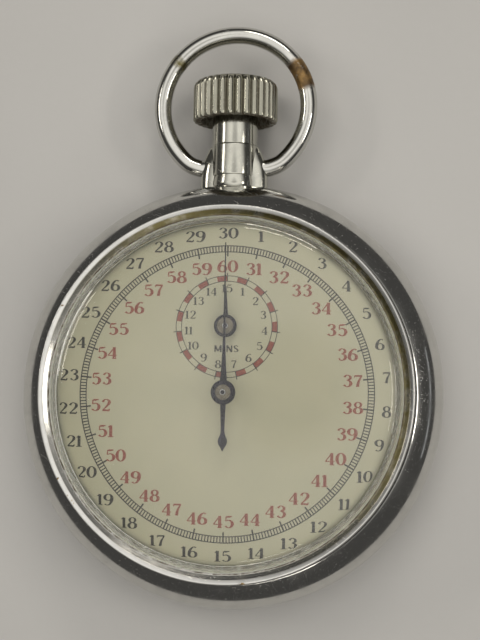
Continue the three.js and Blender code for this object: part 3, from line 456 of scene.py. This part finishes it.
def dial_lacquer():
    """Aged cream lacquer: clouded, finely speckled, and grey near the rim with painted shade of the
    crystal's edge.
    """
    s = Surface("dial_lacquer", (0.39, 0.367, 0.265), 0.36)
    cloud = s.noise(0.12, 4, 0.5, warp=0.8)
    fine = s.noise(3.5, 5, 0.7)
    color = s.mix(s.spread(cloud, 0.3, 0.7), (0.405, 0.38, 0.275), (0.375, 0.356, 0.257))
    color = s.mix(s.spread(fine, 0.45, 0.75, 0, 0.35), color, (0.335, 0.32, 0.225))
    # Painted shade of the crystal's edge, greying the dial towards its rim.
    rim = s.times(s.spread(s.radius(), 20.2, 21.4), s.spread(s.noise(0.4, 4), 0.2, 0.75, 0.5, 1))
    color = s.mix(s.times(rim, 0.75), color, CRYSTAL_EDGE_SHADE)
    specks = s.times(s.spread(s.cells(1.1), 0.07, 0.03), s.spread(s.noise(0.7, 2), 0.52, 0.6))
    color = s.mix(s.times(specks, 0.6), color, SPECK)
    rough = s.spread(s.noise(0.8, 4), 0.3, 0.7, 0.3, 0.46)
    return s.finish(color, rough, bump=fine, depth=0.003)


def ink(name, color, faded):
    """Matt printing ink, faded in patches."""
    s = Surface(name, color, 0.5)
    fade = s.spread(s.noise(2.4, 5, 0.65), 0.4, 0.72)
    return s.finish(s.mix(fade, color, faded), s.spread(fade, 0, 1, 0.42, 0.62),
                    bump=s.noise(9, 3), depth=0.002)


def blued_steel():
    """Near-black blued steel with hairlines."""
    s = Surface("blued_steel", (0.02, 0.022, 0.045), 0.25, 1.0)
    tone = s.noise(0.7, 4, 0.5)
    color = s.mix(s.spread(tone, 0.35, 0.7), (0.006, 0.006, 0.009), (0.022, 0.019, 0.034))
    hair = s.scratches((0, 0, 1.3), across=14, along=0.8, amount=0.66)
    color = s.mix(s.times(hair, 0.2), color, (0.12, 0.11, 0.13))
    return s.finish(color, s.spread(s.noise(3, 4), 0.3, 0.7, 0.2, 0.42), bump=hair, depth=0.002)


def plain_metal(name, color, dark, shine):
    """Brushed movement metal, with tarnish."""
    s = Surface(name, color, shine, 1.0)
    tarnish = s.spread(s.noise(0.45, 5, 0.6, warp=0.5), 0.42, 0.72)
    lines = s.noise(1.0, 4, 0.6, at=s.stretched((0.25, 9.0, 9.0), (0, 0, 0.6)))
    tone = s.mix(tarnish, color, dark)
    tone = s.mix(s.spread(lines, 0.5, 0.8, 0, 0.35), tone, dark)
    rough = s.spread(lines, 0.25, 0.75, shine, shine + 0.2)
    return s.finish(tone, s.blend(tarnish, rough, shine + 0.3), bump=lines, depth=0.004)


def acrylic():
    """Clear dome with fine scuffs and a matt foot in the bezel. Lamps shine through it."""
    s = Surface("acrylic", (0.97, 0.98, 0.96), 0.03, **{"Transmission Weight": 1.0, "IOR": 1.49})
    hair = s.most(s.scratches((0, 0, 0.7), 16, 0.4, 0.7), s.scratches((0, 0, 2.4), 18, 0.5, 0.7))
    rough = s.spread(s.noise(0.3, 4), 0.35, 0.75, 0.015, 0.07)
    scuffed = s.times(s.spread(s.radius(), CRYSTAL_R - 1.2, CRYSTAL_R - 0.5),
                      s.spread(s.noise(0.6, 4), 0.3, 0.7, 0.6, 1))
    rough = s.blend(scuffed, rough, 0.26)
    foot = s.times(s.spread(s.radius(), CRYSTAL_R - 1.0, CRYSTAL_R - 0.8),
                   s.spread(s.along(Z), BEZEL_TOP - 0.75, BEZEL_TOP - 1.0))
    rough = s.blend(foot, rough, 0.65)
    made = s.finish(roughness=s.blend(hair, rough, 0.25), bump=hair, depth=0.002)
    clear = s.node("ShaderNodeBsdfTransparent", {"Color": (0.95, 0.96, 0.94, 1)})
    lamp_ray = s.tree.nodes.new("ShaderNodeLightPath").outputs["Is Shadow Ray"]
    out = s.node("ShaderNodeMixShader", {0: lamp_ray, 1: s.shader.outputs[0], 2: clear})
    s.tree.links.new(out, s.tree.nodes["Material Output"].inputs["Surface"])
    return made


MATERIALS = {
    "case": plated("case_plating", grime_and_shade=seam_grime),
    "bezel": plated("bezel_plating", grime_and_shade=bezel_grime, worn=bezel_wear, stain_and_shade=bezel_lip),
    "bow": plated("bow_plating", BOW_METAL, worn=bow_wear, under=OLD_BRASS, stain_and_shade=bow_stain),
    "pendant": plated("pendant_plating", PENDANT_METAL, 0.1),
    # The crown's dark underside and rib gaps are painted shade.
    "crown": plated("crown_plating", NICKEL, 0.17, grime_and_shade=crown_grime),
    "dial": dial_lacquer(),
    "black_ink": ink("black_ink", (0.013, 0.012, 0.011), (0.045, 0.04, 0.034)),
    "red_ink": ink("red_ink", (0.185, 0.03, 0.018), (0.27, 0.08, 0.048)),
    "hand": blued_steel(),
    "crystal": acrylic(),
    "bush": plain_metal("aged_bush", (0.19, 0.165, 0.125), (0.08, 0.07, 0.05), 0.3),
    "brass": plain_metal("gilt_brass", (0.72, 0.52, 0.24), (0.42, 0.28, 0.12), 0.24),
    "wheel": plain_metal("wheel_brass", (0.76, 0.56, 0.27), (0.45, 0.31, 0.13), 0.2),
    "steel": plain_metal("ground_steel", (0.56, 0.56, 0.57), (0.33, 0.31, 0.29), 0.22),
    "spring": plain_metal("spring_steel", (0.36, 0.37, 0.42), (0.17, 0.17, 0.2), 0.25),
}


def place(piece, body, surface, *nodes):
    """Gives a piece its surface, its body and the CAD nodes it stands for."""
    piece.data.materials.append(MATERIALS[surface])
    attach(piece, body)
    if nodes:
        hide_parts(*nodes)


# ---- Case ----------------------------------------------------------------------------
def band_outline():
    """Outside of the band, from the rear cover up to the bezel."""
    steps, widest = 28, 0.4
    draw_in_below, draw_in_above = 1.7, 3.5
    made = []
    for i in range(steps + 1):
        t = i / steps
        below = draw_in_below * (1 - min(1, t / widest)) ** 2
        above = draw_in_above * max(0, (t - widest) / (1 - widest)) ** 2.2
        made.append((CASE_R - max(below, above), BAND_LOW + (BAND_TOP - BAND_LOW) * t))
    return made


def case_band():
    """Round-sided band with a seat for the cover, a lip for the bezel and a shelf for the works."""
    seat, seat_r, skirt_r = BAND_LOW - 0.1, 23.9, 21.6
    lip, lip_r = BAND_TOP + 0.45, 22.35
    chamfer = 9.92
    shelf_r, shelf_low, shelf_top = 20.4, 6.5, 7.3
    outline = rounded([(skirt_r, seat - 1), (seat_r, seat - 1), (seat_r, seat)], 0.08, 3)
    outline += [Vector(p) for p in band_outline()]
    outline += rounded([
        (lip_r, BAND_TOP), (lip_r, lip), (lip_r - 0.3, lip), (lip_r - 0.3, BAND_TOP),
        (21.85, BAND_TOP), (WALL_R, chamfer), (WALL_R, shelf_top), (shelf_r, shelf_top),
        (shelf_r, shelf_low), (skirt_r, shelf_low),
    ], 0.05, 3)
    return turned("case_band", outline, 320)


def back_cover():
    """Snap-on back with a turned step, and a lip for the case opener."""
    rim = high("rear_cover").z
    outline = [
        (0, 0.0, 0), (18.5, 0.0, 1.5), (21.8, 0.4, 3), (23.7, 1.3, 1.5), (24.6, 2.4, 1.0),
        (COVER_R, rim, 0.12), (COVER_R - 0.8, rim), (COVER_R - 0.8, 2.7), (23.7, 2.1),
        (22.7, 1.4), (20.6, 0.85), (18.2, 0.8), (0, 0.8, 0),
    ]
    return turned("back_cover", rounded(outline, 0.1), 320)


def bezel_ring():
    """Snap-on ring that draws in to a round crest, with two slopes inside down to the crystal."""
    z, top = BEZEL_LOW, BEZEL_TOP
    outline = [
        (22.5, z), (23.2, z, 0.08), (BEZEL_R, z + 0.12, 0.08), (23.15, top - 0.4, 0.4),
        (CREST_R, top, 0.22), (22.48, top - 0.26, 0.2), (22.0, top - 0.6, 0.1),
        (21.75, top - 0.65, 0.05), (21.9, top - 0.8, 0.05), (21.95, z + 0.92),
        (WALL_R, z + 0.92), (WALL_R, z + 0.1), (21.95, z + 0.1), (21.95, z + 0.47),
        (22.45, z + 0.47),
    ]
    return turned("bezel_ring", rounded(outline, 0.05, 6), 384)


def dome(top, edge_r, edge_z):
    """A dome that is round in the middle and falls over a short shoulder at its edge."""
    steps, shoulder, sharpness = 64, 0.2, 80
    rise = top - edge_z
    made = []
    for i in range(steps + 1):
        r = edge_r * math.sin(0.5 * math.pi * i / steps)
        t = r / edge_r
        fall = (1 - shoulder) * t * t + shoulder * t ** sharpness
        made.append(Vector((r, top - rise * fall)))
    return made


def crystal_dome():
    """Hollow dome whose foot is held in the bezel's groove."""
    outer_r, inner_r = 21.6, 21.1
    outer = dome(CRYSTAL_TOP, outer_r, BEZEL_TOP - 0.65)
    inner = dome(CRYSTAL_TOP - 0.7, inner_r, BEZEL_TOP - 1.1)
    foot = rounded([(CRYSTAL_R, CRYSTAL_LOW + 0.6), (CRYSTAL_R, CRYSTAL_LOW),
                    (inner_r, CRYSTAL_LOW)], 0.06, 3)
    return turned("crystal_dome", outer + foot + inner[::-1], 256)


# ---- Pendant, crown and bow ------------------------------------------------------------
def neck():
    """Tube rounded off above the band, in a flattened skirt whose two edges hold the bow."""
    seat, end_round = NECK_TOP - 6.1, 1.2
    foot = [(NECK_R - end_round * (1 - math.sin(0.25 * math.pi * k / 4)),
             seat + end_round * (1 - math.cos(0.25 * math.pi * k / 4))) for k in range(9)]
    tube = [Vector(p) for p in ((1.2, NECK_TOP), (1.2, seat - 3), (NECK_R - 1.5, seat - 3),
                                (NECK_R - 1.5, seat), *foot)]
    tube += rounded([(NECK_R, seat + 2), (NECK_R, NECK_TOP), (1.3, NECK_TOP)], 0.08, 4)
    skirt = [(p.x, p.y) for p in smooth_line([(x, NECK_TOP + y) for x, y in EAR_OUTLINE], 6)]
    skirt = [(2.0, skirt[0][1]), *skirt, (2.0, skirt[-1][1])]

    def squared(part):
        return math.copysign(abs(part) ** (2 / 3), part)

    def flat_point(turn, r):
        return r * squared(math.cos(turn)), r * EAR_FLATNESS * squared(math.sin(turn))

    return joined("neck_tube", [stem_shell(tube, 192, round_point),
                                stem_shell(skirt, 240, flat_point)])


def sleeve():
    """Short tube round the stem, between the neck and the crown."""
    outline = rounded([(1.6, SLEEVE_LOW), (SLEEVE_R, SLEEVE_LOW), (SLEEVE_R, SLEEVE_TOP),
                       (1.6, SLEEVE_TOP)], 0.12)
    return make_mesh("sleeve_tube", *stem_shell(outline, 192, round_point))


def crown_cap():
    """Ribbed cap with a low dome on top, open underneath round its hub."""
    ribs, depth = 30, 0.45
    low_y, top_y = CROWN_LOW, CROWN_TOP
    wall = [(CROWN_R, low_y + 0.4 + (top_y - low_y - 1.3) * k / 10) for k in range(11)]
    profile = [
        (4.4, low_y + 0.1, 0.1), (4.75, low_y, 0.1), (CROWN_R - 0.06, low_y + 0.1, 0.12), *wall,
        (CROWN_R - 0.15, top_y - 0.5, 0.4), (4.9, top_y - 0.15, 0.4), (3.9, top_y, 0.8),
        (0, top_y), (0, top_y - 2), (3.1, top_y - 2), (3.1, low_y + 1.2), (4.3, low_y + 1.2),
    ]

    def ribbed_point(turn, r):
        rise = abs(math.sin(ribs * turn / 2)) ** 0.8
        fade = max(0, min(1, (r - 4.6) / 0.5))
        return round_point(turn, r - depth * (1 - rise) * fade)

    shell = stem_shell(rounded(profile, 0.12, 4), ribs * 16, ribbed_point)
    return make_mesh("crown_cap", *shell, sharp=50)


def bow_wire():
    """Wire ring whose two ends turn inwards into the neck."""
    past_half, pieces, sides = 51, 24, 28
    ring = [bow_point(-past_half + (180 + 2 * past_half) * i / pieces)
            for i in range(pieces + 1)]

    def end(side):
        return [(side * x, BOW_PIVOT_Y, STEM_Z) for x in (2.85, 3.6, 4.4)]

    path = smooth_line(end(1) + ring + end(-1)[::-1], 6)
    verts = []
    for i, point in enumerate(path):
        along = (path[min(i + 1, len(path) - 1)] - path[max(i - 1, 0)]).normalized()
        across = along.cross(Vector((0, 0, 1)))
        for k in range(sides):
            turn = TAU * k / sides
            up = Vector((0, 0, math.sin(turn)))
            verts.append(point + WIRE_R * (across * math.cos(turn) + up))
    last = (len(path) - 1) * sides
    faces = grid_faces(len(path), sides)[:last]
    faces += [tuple(range(sides))[::-1], tuple(range(last, last + sides))]
    return make_mesh("bow_wire", verts, faces, sharp=60)


# ---- Numerals --------------------------------------------------------------------------
# Each stroke is a line of (x, y, half width) points in a cell one unit high.
THIN, BOLD = 0.028, 0.078


def oval(y, rx, ry, thick=BOLD):
    """An upright oval stroke, thin at its top and foot and thick at its sides."""
    points = []
    for k in range(17):
        turn = TAU * k / 16
        weight = THIN + (thick - THIN) * abs(math.cos(turn)) ** 1.5
        points.append((rx * math.cos(turn), y + ry * math.sin(turn), weight))
    return points


FOOT = [(-0.17, 0.03, THIN), (0.17, 0.03, THIN)]
NINE_TAIL = [(0.215, 0.69, BOLD), (0.2, 0.42, BOLD), (0.08, 0.1, 0.05), (-0.1, 0.03, THIN),
             (-0.19, 0.12, 0.06)]
GLYPHS = {
    "0": [oval(0.5, 0.22, 0.465)],
    "1": [[(0, 0.03, BOLD), (0, 0.95, BOLD * 0.95)], FOOT, [(-0.15, 0.8, THIN), (0, 0.95, 0.05)]],
    "2": [[(-0.18, 0.74, 0.065), (-0.12, 0.9, 0.045), (0.02, 0.965, THIN), (0.17, 0.86, 0.06),
           (0.19, 0.68, BOLD), (0.08, 0.45, 0.05), (-0.2, 0.06, THIN)],
          [(-0.2, 0.05, 0.05), (0.0, 0.07, 0.06), (0.16, 0.05, 0.055), (0.22, 0.2, 0.02)]],
    "3": [[(-0.17, 0.8, 0.06), (-0.08, 0.94, 0.04), (0.04, 0.965, THIN), (0.16, 0.85, 0.06),
           (0.15, 0.66, 0.065), (-0.03, 0.55, THIN)],
          [(-0.03, 0.55, THIN), (0.14, 0.48, 0.05), (0.2, 0.28, BOLD), (0.12, 0.09, 0.055),
           (-0.04, 0.03, THIN), (-0.19, 0.17, 0.062)]],
    "4": [[(0.1, 0.03, BOLD), (0.1, 0.97, 0.07)], [(0.1, 0.96, 0.03), (-0.25, 0.3, THIN)],
          [(-0.26, 0.29, 0.03), (0.26, 0.29, 0.03)], [(-0.02, 0.03, THIN), (0.23, 0.03, THIN)]],
    "5": [[(-0.13, 0.91, 0.055), (0.02, 0.91, 0.06), (0.19, 0.95, 0.03)],
          [(-0.15, 0.93, THIN), (-0.17, 0.56, THIN)],
          [(-0.17, 0.56, THIN), (0.0, 0.63, 0.035), (0.16, 0.53, 0.06), (0.21, 0.32, BOLD),
           (0.13, 0.1, 0.055), (-0.04, 0.03, THIN), (-0.19, 0.16, 0.062)]],
    "6": [oval(0.3, 0.205, 0.265), [(-0.2, 0.32, BOLD), (-0.17, 0.6, 0.072),
          (-0.04, 0.86, 0.05), (0.1, 0.955, THIN), (0.18, 0.86, 0.055)]],
    "7": [[(-0.2, 0.91, 0.058), (0.2, 0.91, 0.058)], [(-0.21, 0.94, 0.022), (-0.22, 0.76, 0.02)],
          [(0.2, 0.92, 0.03), (0.03, 0.5, 0.055), (-0.04, 0.03, 0.075)]],
    "8": [oval(0.75, 0.165, 0.205, 0.06), oval(0.28, 0.205, 0.245)],
    "9": [oval(0.7, 0.205, 0.265), NINE_TAIL],
    "M": [[(-0.3, 0, 0.05), (-0.3, 1, 0.05)], [(-0.3, 1, 0.065), (0, 0.1, 0.05)],
          [(0, 0.1, 0.045), (0.3, 1, 0.045)], [(0.3, 1, 0.065), (0.3, 0, 0.065)]],
    "I": [[(0, 0, 0.065), (0, 1, 0.065)]],
    "N": [[(-0.24, 0, 0.05), (-0.24, 1, 0.05)], [(-0.24, 1, 0.065), (0.24, 0, 0.065)],
          [(0.24, 0, 0.05), (0.24, 1, 0.05)]],
    "S": [[(0.19, 0.82, 0.045), (0.02, 0.97, 0.035), (-0.17, 0.82, 0.05), (-0.1, 0.6, 0.06),
           (0.12, 0.42, 0.06), (0.19, 0.2, 0.05), (0, 0.03, 0.035), (-0.2, 0.17, 0.045)]],
}
# How far each character takes the line on, in cells.
DIGIT_ADVANCE = 0.62
ADVANCE = {"1": 0.38, "M": 0.92, "I": 0.36, "N": 0.78}


def stroke(points, place_point, height, weight):
    """One pen stroke as a raised ribbon. place_point turns cell units into dial millimetres."""
    line = smooth_line(points, 3) if len(points) > 2 else [Vector(p) for p in points]
    left, right = [], []
    for i, point in enumerate(line):
        before, after = line[max(i - 1, 0)], line[min(i + 1, len(line) - 1)]
        along = Vector((after.x - before.x, after.y - before.y)).normalized()
        side = Vector((-along.y, along.x)) * point.z * weight
        left.append(place_point(point.x + side.x, point.y + side.y))
        right.append(place_point(point.x - side.x, point.y - side.y))
    return strip(left, right, DIAL_TOP - PRINT_THICK, DIAL_TOP + height)


def lettering(text, x, y, size, width, weight=1.0):
    """Upright text centred at x, y. Strokes in one glyph differ in height by a hair."""
    advances = [ADVANCE.get(letter, DIGIT_ADVANCE) * size * width for letter in text]
    at = x - sum(advances) / 2
    shells = []
    for letter, advance in zip(text, advances):
        centre = at + advance / 2

        def place_point(u, v, centre=centre):
            return centre + u * size * width, y + (v - 0.5) * size

        for k, points in enumerate(GLYPHS[letter]):
            shells.append(stroke(points, place_point, PRINT_THICK * (1 + 0.06 * k), weight))
        at += advance
    return shells


# ---- Dial printing -----------------------------------------------------------------------
def clock(radius, turns, y=0.0):
    """The point at that share of a turn clockwise from the top."""
    return radius * math.sin(TAU * turns), y + radius * math.cos(TAU * turns)


def ring_line(radius, width, y=0.0, start=0.0, end=1.0, lift=1.0):
    """A printed circle, or its arc between two shares of a turn."""
    steps = max(6, round(240 * (end - start)))
    whole = end - start == 1
    turns = [start + (end - start) * k / steps for k in range(steps + (0 if whole else 1))]
    outer = [clock(radius + width / 2, t, y) for t in turns]
    inner = [clock(radius - width / 2, t, y) for t in turns]
    return strip(outer, inner, DIAL_TOP - PRINT_THICK, DIAL_TOP + PRINT_THICK * lift, whole)


def tick(inner, outer, turns, width, y=0.0):
    """A printed line between two radii, at that share of a turn."""
    turn = TAU * turns
    side = Vector((math.cos(turn), -math.sin(turn))) * width / 2
    a, b = Vector(clock(inner, turns, y)), Vector(clock(outer, turns, y))
    return prism([tuple(a + side), tuple(b + side), tuple(b - side), tuple(a - side)],
                 DIAL_TOP - PRINT_THICK, DIAL_TOP + 0.9 * PRINT_THICK)


CHAPTER_OUT, CHAPTER_IN = 18.15, 17.4
REGISTER_OUT, REGISTER_IN = 6.27, 5.6
SECONDS, MINUTES = 30, 15  # in one turn of each hand


def numeral_ring(numbers, radius, size, width, weight=1.0, y=0.0):
    """Upright numbers spread round a ring, the first of them one step clockwise from the top."""
    shells = []
    for k, number in enumerate(numbers, start=1):
        x, up = clock(radius, k / len(numbers), y)
        shells += lettering(str(number), x, up, size, width, weight)
    return shells


def chapter_ring():
    """Two circles with ticks between them for tenths, halves and whole seconds."""
    shells = [ring_line(CHAPTER_OUT, 0.13), ring_line(CHAPTER_IN, 0.12)]
    tenths = 10 * SECONDS
    for k in range(tenths):
        whole, half = k % 10 == 0, k % 5 == 0
        inner = CHAPTER_IN - (0.55 if whole else 0)
        width = 0.19 if whole else 0.15 if half else 0.13
        shells.append(tick(inner, CHAPTER_OUT, k / tenths, width))
    return shells


def outer_numerals():
    return numeral_ring(range(1, SECONDS + 1), 19.76, 1.42, 1.5, 1.1)


def inner_numerals():
    return numeral_ring(range(SECONDS + 1, 2 * SECONDS + 1), 15.6, 1.5, 1.42, 1.2)


def register_black():
    """The register's circles, minute ticks, numbers and word."""
    shells = [ring_line(radius, 0.09, REGISTER_Y) for radius in (REGISTER_OUT, REGISTER_IN)]
    shells += [tick(REGISTER_IN, REGISTER_OUT + 0.37, k / MINUTES, 0.12, REGISTER_Y)
               for k in range(MINUTES)]
    shells += numeral_ring(range(1, MINUTES + 1), 4.72, 1.0, 1.4, y=REGISTER_Y)
    return shells + lettering("MINS", 0, REGISTER_Y - 2.72, 0.82, 1.42, 1.5)


def register_red():
    """A block in the second half of every minute."""
    middle, width = (REGISTER_IN + REGISTER_OUT) / 2, REGISTER_OUT - REGISTER_IN - 0.05
    return [ring_line(middle, width, REGISTER_Y, (k + 0.5) / MINUTES, (k + 1) / MINUTES, 0.7)
            for k in range(MINUTES)]


def dial_plate():
    """Disc with holes for the two arbors."""
    base = DIAL_TOP - 0.4
    plate = make_mesh("dial_plate", *prism(circle(DIAL_R, 0, 256), base, DIAL_TOP))
    for y, radius in ((0, 0.9), (REGISTER_Y, 0.8)):
        cutter = make_mesh("hole", *prism(circle(radius, y, 48), base - 1, DIAL_TOP + 1))
        cut = plate.modifiers.new("hole", "BOOLEAN")
        cut.operation, cut.solver, cut.object = "DIFFERENCE", "EXACT", cutter
        with bpy.context.temp_override(object=plate):
            bpy.ops.object.modifier_apply(modifier=cut.name)
        bpy.data.objects.remove(cutter)
    finish_mesh(plate.data, SHARP)
    return plate


# ---- Hands -------------------------------------------------------------------------------
HAND_THICK = 0.16
PIN_R = 0.36  # the arbor's end, seen in the bush


def hand_leaf(stations, y, z0):
    """Flat hand from (distance along, half width) stations, with a softened upper edge."""
    left = [(-half, y + along) for along, half in stations]
    right = [(half, y + along) for along, half in stations]
    outline = left + right[::-1]
    count, rows = len(outline), len(stations)
    z1 = z0 + HAND_THICK
    levels = [(z0, 1.0), (z1 - 0.04, 1.0), (z1, 0.7)]
    verts = [(x * share, v, z) for z, share in levels for x, v in outline]
    faces = [(a * count + k, a * count + (k + 1) % count, (a + 1) * count + (k + 1) % count,
              (a + 1) * count + k) for a in range(2) for k in range(count)]
    for base in (0, 2 * count):
        faces += [(base + k, base + k + 1, base + count - 2 - k, base + count - 1 - k)
                  for k in range(rows - 1)]
    return verts, faces


def boss(y, radius, z0, z1):
    """Collet that carries the hand, with a shallow ring turned in its top."""
    bore = 0.42
    outline = rounded([(bore, z0), (radius * 0.86, z0), (radius, z0 + 0.1), (radius, z1 - 0.12),
                       (radius * 0.93, z1), (radius * 0.7, z1), (radius * 0.64, z1 - 0.06),
                       (bore, z1 - 0.06)], 0.04, 3)
    return turned_shell(outline, y, 64)


def bush(name, y, radius, z0, z1):
    bore = 0.3
    outline = rounded([(bore, z0), (radius, z0), (radius, z1), (bore + 0.05, z1)], 0.05, 3)
    return make_mesh(name, *turned_shell(outline, y, 64))


def pin(name, y, z0, z1):
    outline = rounded([(0, z0, 0), (PIN_R, z0, 0), (PIN_R, z1, PIN_R * 0.7), (0, z1 + 0.05, 0)], 0)
    return make_mesh(name, *turned_shell(outline, y, 32))


SWEEP_STATIONS = [(-7.1, 0.03), (-6.7, 0.22), (-6.3, 0.48), (-5.95, 0.58), (-5.6, 0.52),
                  (-5.2, 0.33), (-4.8, 0.22), (-4.2, 0.22), (-1.2, 0.34), (1.2, 0.44),
                  (2.8, 0.31), (5.0, 0.2), (8.0, 0.12), (13.0, 0.085), (18.3, 0.06)]
MINUTE_STATIONS = [(0.9, 0.34), (1.6, 0.27), (2.6, 0.2), (3.6, 0.12), (4.85, 0.05)]


def hand(kind, y, stations, boss_r, bush_r):
    """A hand with its collet, and the bush and the arbor's end that show in the collet."""
    base, top = low(kind + "_hand").z, high(kind + "_hand").z
    shells = [hand_leaf(stations, y, base), boss(y, boss_r, base - 0.02, top)]
    place(joined(kind + "_hand_blued", shells), kind, "hand", kind + "_hand")
    place(bush(kind + "_bush", y, bush_r, top - 0.2, top + 0.02), kind, "bush")
    place(pin(kind + "_pin", y, top - 0.2, high(kind + "_arbor").z), kind, "hand")


def build_watch():
    place(case_band(), "case", "case", "case_middle")
    place(back_cover(), "case", "case", "rear_cover")
    place(bezel_ring(), "case", "bezel", "bezel")
    place(crystal_dome(), "case", "crystal", "crystal")
    place(neck(), "case", "pendant", "pendant_neck")
    place(sleeve(), "case", "pendant", "pendant_sleeve")
    place(crown_cap(), "crown", "crown", "crown")
    place(bow_wire(), "bow", "bow", "bow")
    place(dial_plate(), "case", "dial", "dial")
    printing = [
        ("chapter_ring", chapter_ring(), "black_ink"),
        ("outer_numerals", outer_numerals(), "black_ink"),
        ("register_print", register_black(), "black_ink"),
        ("inner_numerals", inner_numerals(), "red_ink"),
        ("register_blocks", register_red(), "red_ink"),
    ]
    for name, shells, surface in printing:
        place(joined(name, shells), "case", surface)
    hand("sweep", 0, SWEEP_STATIONS, 1.5, 0.93)
    hand("minute", REGISTER_Y, MINUTE_STATIONS, 1.4, 1.02)


def finish_works():
    """The CAD nodes that stay get their metals by the record's slots."""
    kinds = {"movement_brass": "brass", "wheel_brass": "wheel", "steel": "steel",
             "spring_steel": "spring", "crown_nickel": "crown"}
    for ob in frame["nodes"].values():
        if not ob.hide_render:
            slot = ob.material_slots[0]
            kind = slot.material.name.split(".")[0]
            slot.material = MATERIALS[kinds.get(kind, "steel")]


# ---- Stage -------------------------------------------------------------------------------
def floor():
    """A pale matt sheet, faintly clouded and woven."""
    half = 1500
    corners = [(-half, -half, 0), (half, -half, 0), (half, half, 0), (-half, half, 0)]
    ob = make_mesh("floor", corners, [(0, 1, 2, 3)])
    s = Surface("floor", (0.6, 0.59, 0.57), 0.7)
    weave = s.noise(0.9, 6, 0.7)
    cloud = s.spread(s.noise(0.01, 3), 0.3, 0.7)
    color = s.mix(cloud, (0.62, 0.61, 0.59), (0.57, 0.56, 0.54))
    rough = s.spread(weave, 0.3, 0.7, 0.6, 0.8)
    ob.data.materials.append(s.finish(color, rough, bump=weave, depth=0.02))


LAMP_AIM = Vector((0, 8, 6))
WARM, COOL = (1.0, 0.95, 0.87), (0.95, 0.97, 1.0)


def lamp(name, at, watts, size=(160, 40), color=WARM):
    """A softbox turned to the watch."""
    data = bpy.data.lights.new(name, "AREA")
    data.shape = "RECTANGLE"
    data.size, data.size_y = size[0] * MM, size[1] * MM
    data.energy, data.color = watts, color
    ob = bpy.data.objects.new(name, data)
    bpy.context.collection.objects.link(ob)
    ob.location = Vector(at) * MM
    ob.rotation_euler = (Vector(at) - LAMP_AIM).to_track_quat("Z", "Y").to_euler()


def room():
    """A room that is dim low down, bright high up, and less bright straight above."""
    world = bpy.data.worlds.new("room")
    bpy.context.scene.world = world
    world.use_nodes = True
    nodes, links = world.node_tree.nodes, world.node_tree.links
    way = nodes.new("ShaderNodeTexCoord")
    toward = nodes.new("ShaderNodeVectorMath")
    toward.operation = "DOT_PRODUCT"
    toward.inputs[1].default_value = Vector((0.12, 0.05, 1)).normalized()
    links.new(way.outputs["Generated"], toward.inputs[0])

    def graded(*values):
        made = nodes.new("ShaderNodeMapRange")
        made.interpolation_type = "SMOOTHSTEP"
        for k, value in enumerate(values, start=1):
            made.inputs[k].default_value = value
        links.new(toward.outputs["Value"], made.inputs[0])
        return made.outputs[0]

    both = nodes.new("ShaderNodeMath")
    both.operation = "MULTIPLY"
    links.new(graded(0.55, 0.93, 0.07, 1.2), both.inputs[0])
    links.new(graded(0.95, 0.995, 1.0, 0.55), both.inputs[1])
    background = nodes["Background"]
    links.new(both.outputs[0], background.inputs["Strength"])
    background.inputs["Color"].default_value = (1.0, 0.975, 0.93, 1)


def lights():
    """Softboxes on the four sides, well above the watch, and a faint low strip at the right."""
    lamp("left", (-322, 120, 270), 0.16)
    lamp("right", (325, 10, 273), 0.16)
    lamp("right_low", (350, 0, 85), 0.004, (220, 16), COOL)
    lamp("behind", (60, 350, 285), 0.2)
    lamp("front", (60, -350, 270), 0.1)
    room()


def camera():
    """Above the dial, a little to the right and below the middle."""
    eye, toward_eye = Vector((24.25, -7.07, 186.08)), Vector((0.1288, -0.0916, 1))
    roll = math.radians(0.926)
    data = bpy.data.cameras.new("camera")
    data.sensor_width, data.lens = 36, 81.23
    data.clip_start, data.clip_end = 0.01, 10
    ob = bpy.data.objects.new("camera", data)
    bpy.context.collection.objects.link(ob)
    back = toward_eye.normalized()
    right = Vector((0, 1, 0)).cross(back).normalized()
    across = right * math.cos(roll) + back.cross(right) * math.sin(roll)
    turn = Matrix((across, back.cross(across), back)).transposed().to_4x4()
    ob.matrix_world = Matrix.Translation(eye * MM) @ turn
    bpy.context.scene.camera = ob


build_watch()
finish_works()
floor()
lights()
camera()
bpy.context.scene.view_settings.view_transform = "Standard"
